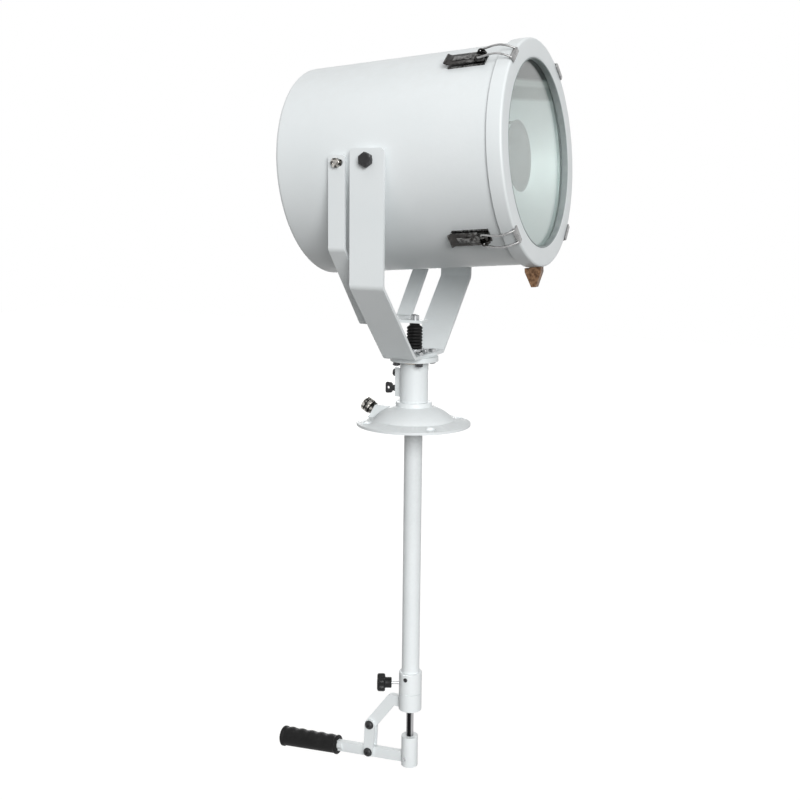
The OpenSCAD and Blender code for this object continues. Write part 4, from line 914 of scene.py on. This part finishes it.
def seen_directly(tree):
    """One for rays that come from the camera, a mirror or through glass, else zero."""
    path = tree.nodes.new("ShaderNodeLightPath")
    seen = path.outputs["Is Camera Ray"]
    for label in ("Is Glossy Ray", "Is Transmission Ray"):
        either = tree.nodes.new("ShaderNodeMath")
        either.operation = "MAXIMUM"
        tree.links.new(seen, either.inputs[0])
        tree.links.new(path.outputs[label], either.inputs[1])
        seen = either.outputs["Value"]
    return seen


floor_place = floor_tree.nodes.new("ShaderNodeTexCoord")
floor_reach = floor_tree.nodes.new("ShaderNodeVectorMath")
floor_reach.operation = "LENGTH"
floor_tree.links.new(floor_place.outputs["Object"], floor_reach.inputs[0])
floor_white = remap(floor_tree, floor_reach.outputs["Value"], low=0.9, high=2.0, to_low=0.92, to_high=1.0)
floor_tree.links.new(times(floor_tree, seen_directly(floor_tree), floor_white),
                     floor_shader.inputs["Emission Strength"])
floor_mesh = bpy.data.meshes.new("floor")
floor_corners = [(x * floor_half, y * floor_half, floor_z)
                 for x, y in ((-1, -1), (1, -1), (1, 1), (-1, 1))]
floor_mesh.from_pydata(floor_corners, [], [(0, 1, 2, 3)])
floor_mesh.materials.append(floor_finish)
floor = bpy.data.objects.new("floor", floor_mesh)
bpy.context.scene.collection.objects.link(floor)

room_light = 0.30
world = bpy.data.worlds.new("soft white room")
bpy.context.scene.world = world
world.use_nodes = True
room_tree = world.node_tree
sky = room_tree.nodes["Background"]
sky.inputs["Color"].default_value = (1, 1, 1, 1)
room_level = remap(room_tree, seen_directly(room_tree), 0.0, 1.0, to_low=room_light, to_high=1.0)
room_tree.links.new(room_level, sky.inputs["Strength"])


def soft_lamp(name, place, target, size, watts, colour=(1.0, 1.0, 1.0), spread=180):
    light = bpy.data.lights.new(name, "AREA")
    light.shape = "DISK"
    light.size = size
    light.energy = watts
    light.color = colour
    light.spread = math.radians(spread)
    lamp = bpy.data.objects.new(name, light)
    lamp.location = place
    lamp.rotation_euler = (Vector(target) - Vector(place)).to_track_quat("-Z", "Y").to_euler()
    bpy.context.scene.collection.objects.link(lamp)


soft_lamp("front lamp", place=(4.3, -5.55, 2.6), target=(0, 0, 0), size=4.5, watts=475)
soft_lamp("low lamp", place=(1.9, -3.3, -0.1), target=(0, 0, -0.5), size=0.5, watts=0.17, spread=14)
soft_lamp("overhead lamp", place=(-0.4, -0.9, 2.9), target=(0, 0, 0.4), size=2.4, watts=10,
          colour=(0.98, 0.99, 1.0))
soft_lamp("back lamp", place=(-3.4, 5.6, 0.15), target=(0, 0, 0.1), size=3.0, watts=115)

azimuth, pitch, roll = math.radians(25.29), math.radians(-9.8), math.radians(0.58)
forward = Vector((-math.sin(azimuth) * math.cos(pitch), math.cos(azimuth) * math.cos(pitch),
                  math.sin(pitch)))
right = forward.cross(Vector((0, 0, 1))).normalized()
upward = right.cross(forward)
frame_right = right * math.cos(roll) + upward * math.sin(roll)
frame_up = upward * math.cos(roll) - right * math.sin(roll)
eye = Vector((0.8276, -1.8110, 0.3888))
camera_data = bpy.data.cameras.new("photograph camera")
camera_data.sensor_width = 36
camera_data.lens = 49.5
camera = bpy.data.objects.new("photograph camera", camera_data)
camera.matrix_world = Matrix(((frame_right.x, frame_up.x, -forward.x, eye.x),
                              (frame_right.y, frame_up.y, -forward.y, eye.y),
                              (frame_right.z, frame_up.z, -forward.z, eye.z), (0, 0, 0, 1)))
bpy.context.scene.collection.objects.link(camera)
bpy.context.scene.camera = camera
bpy.context.scene.view_settings.view_transform = "Standard"
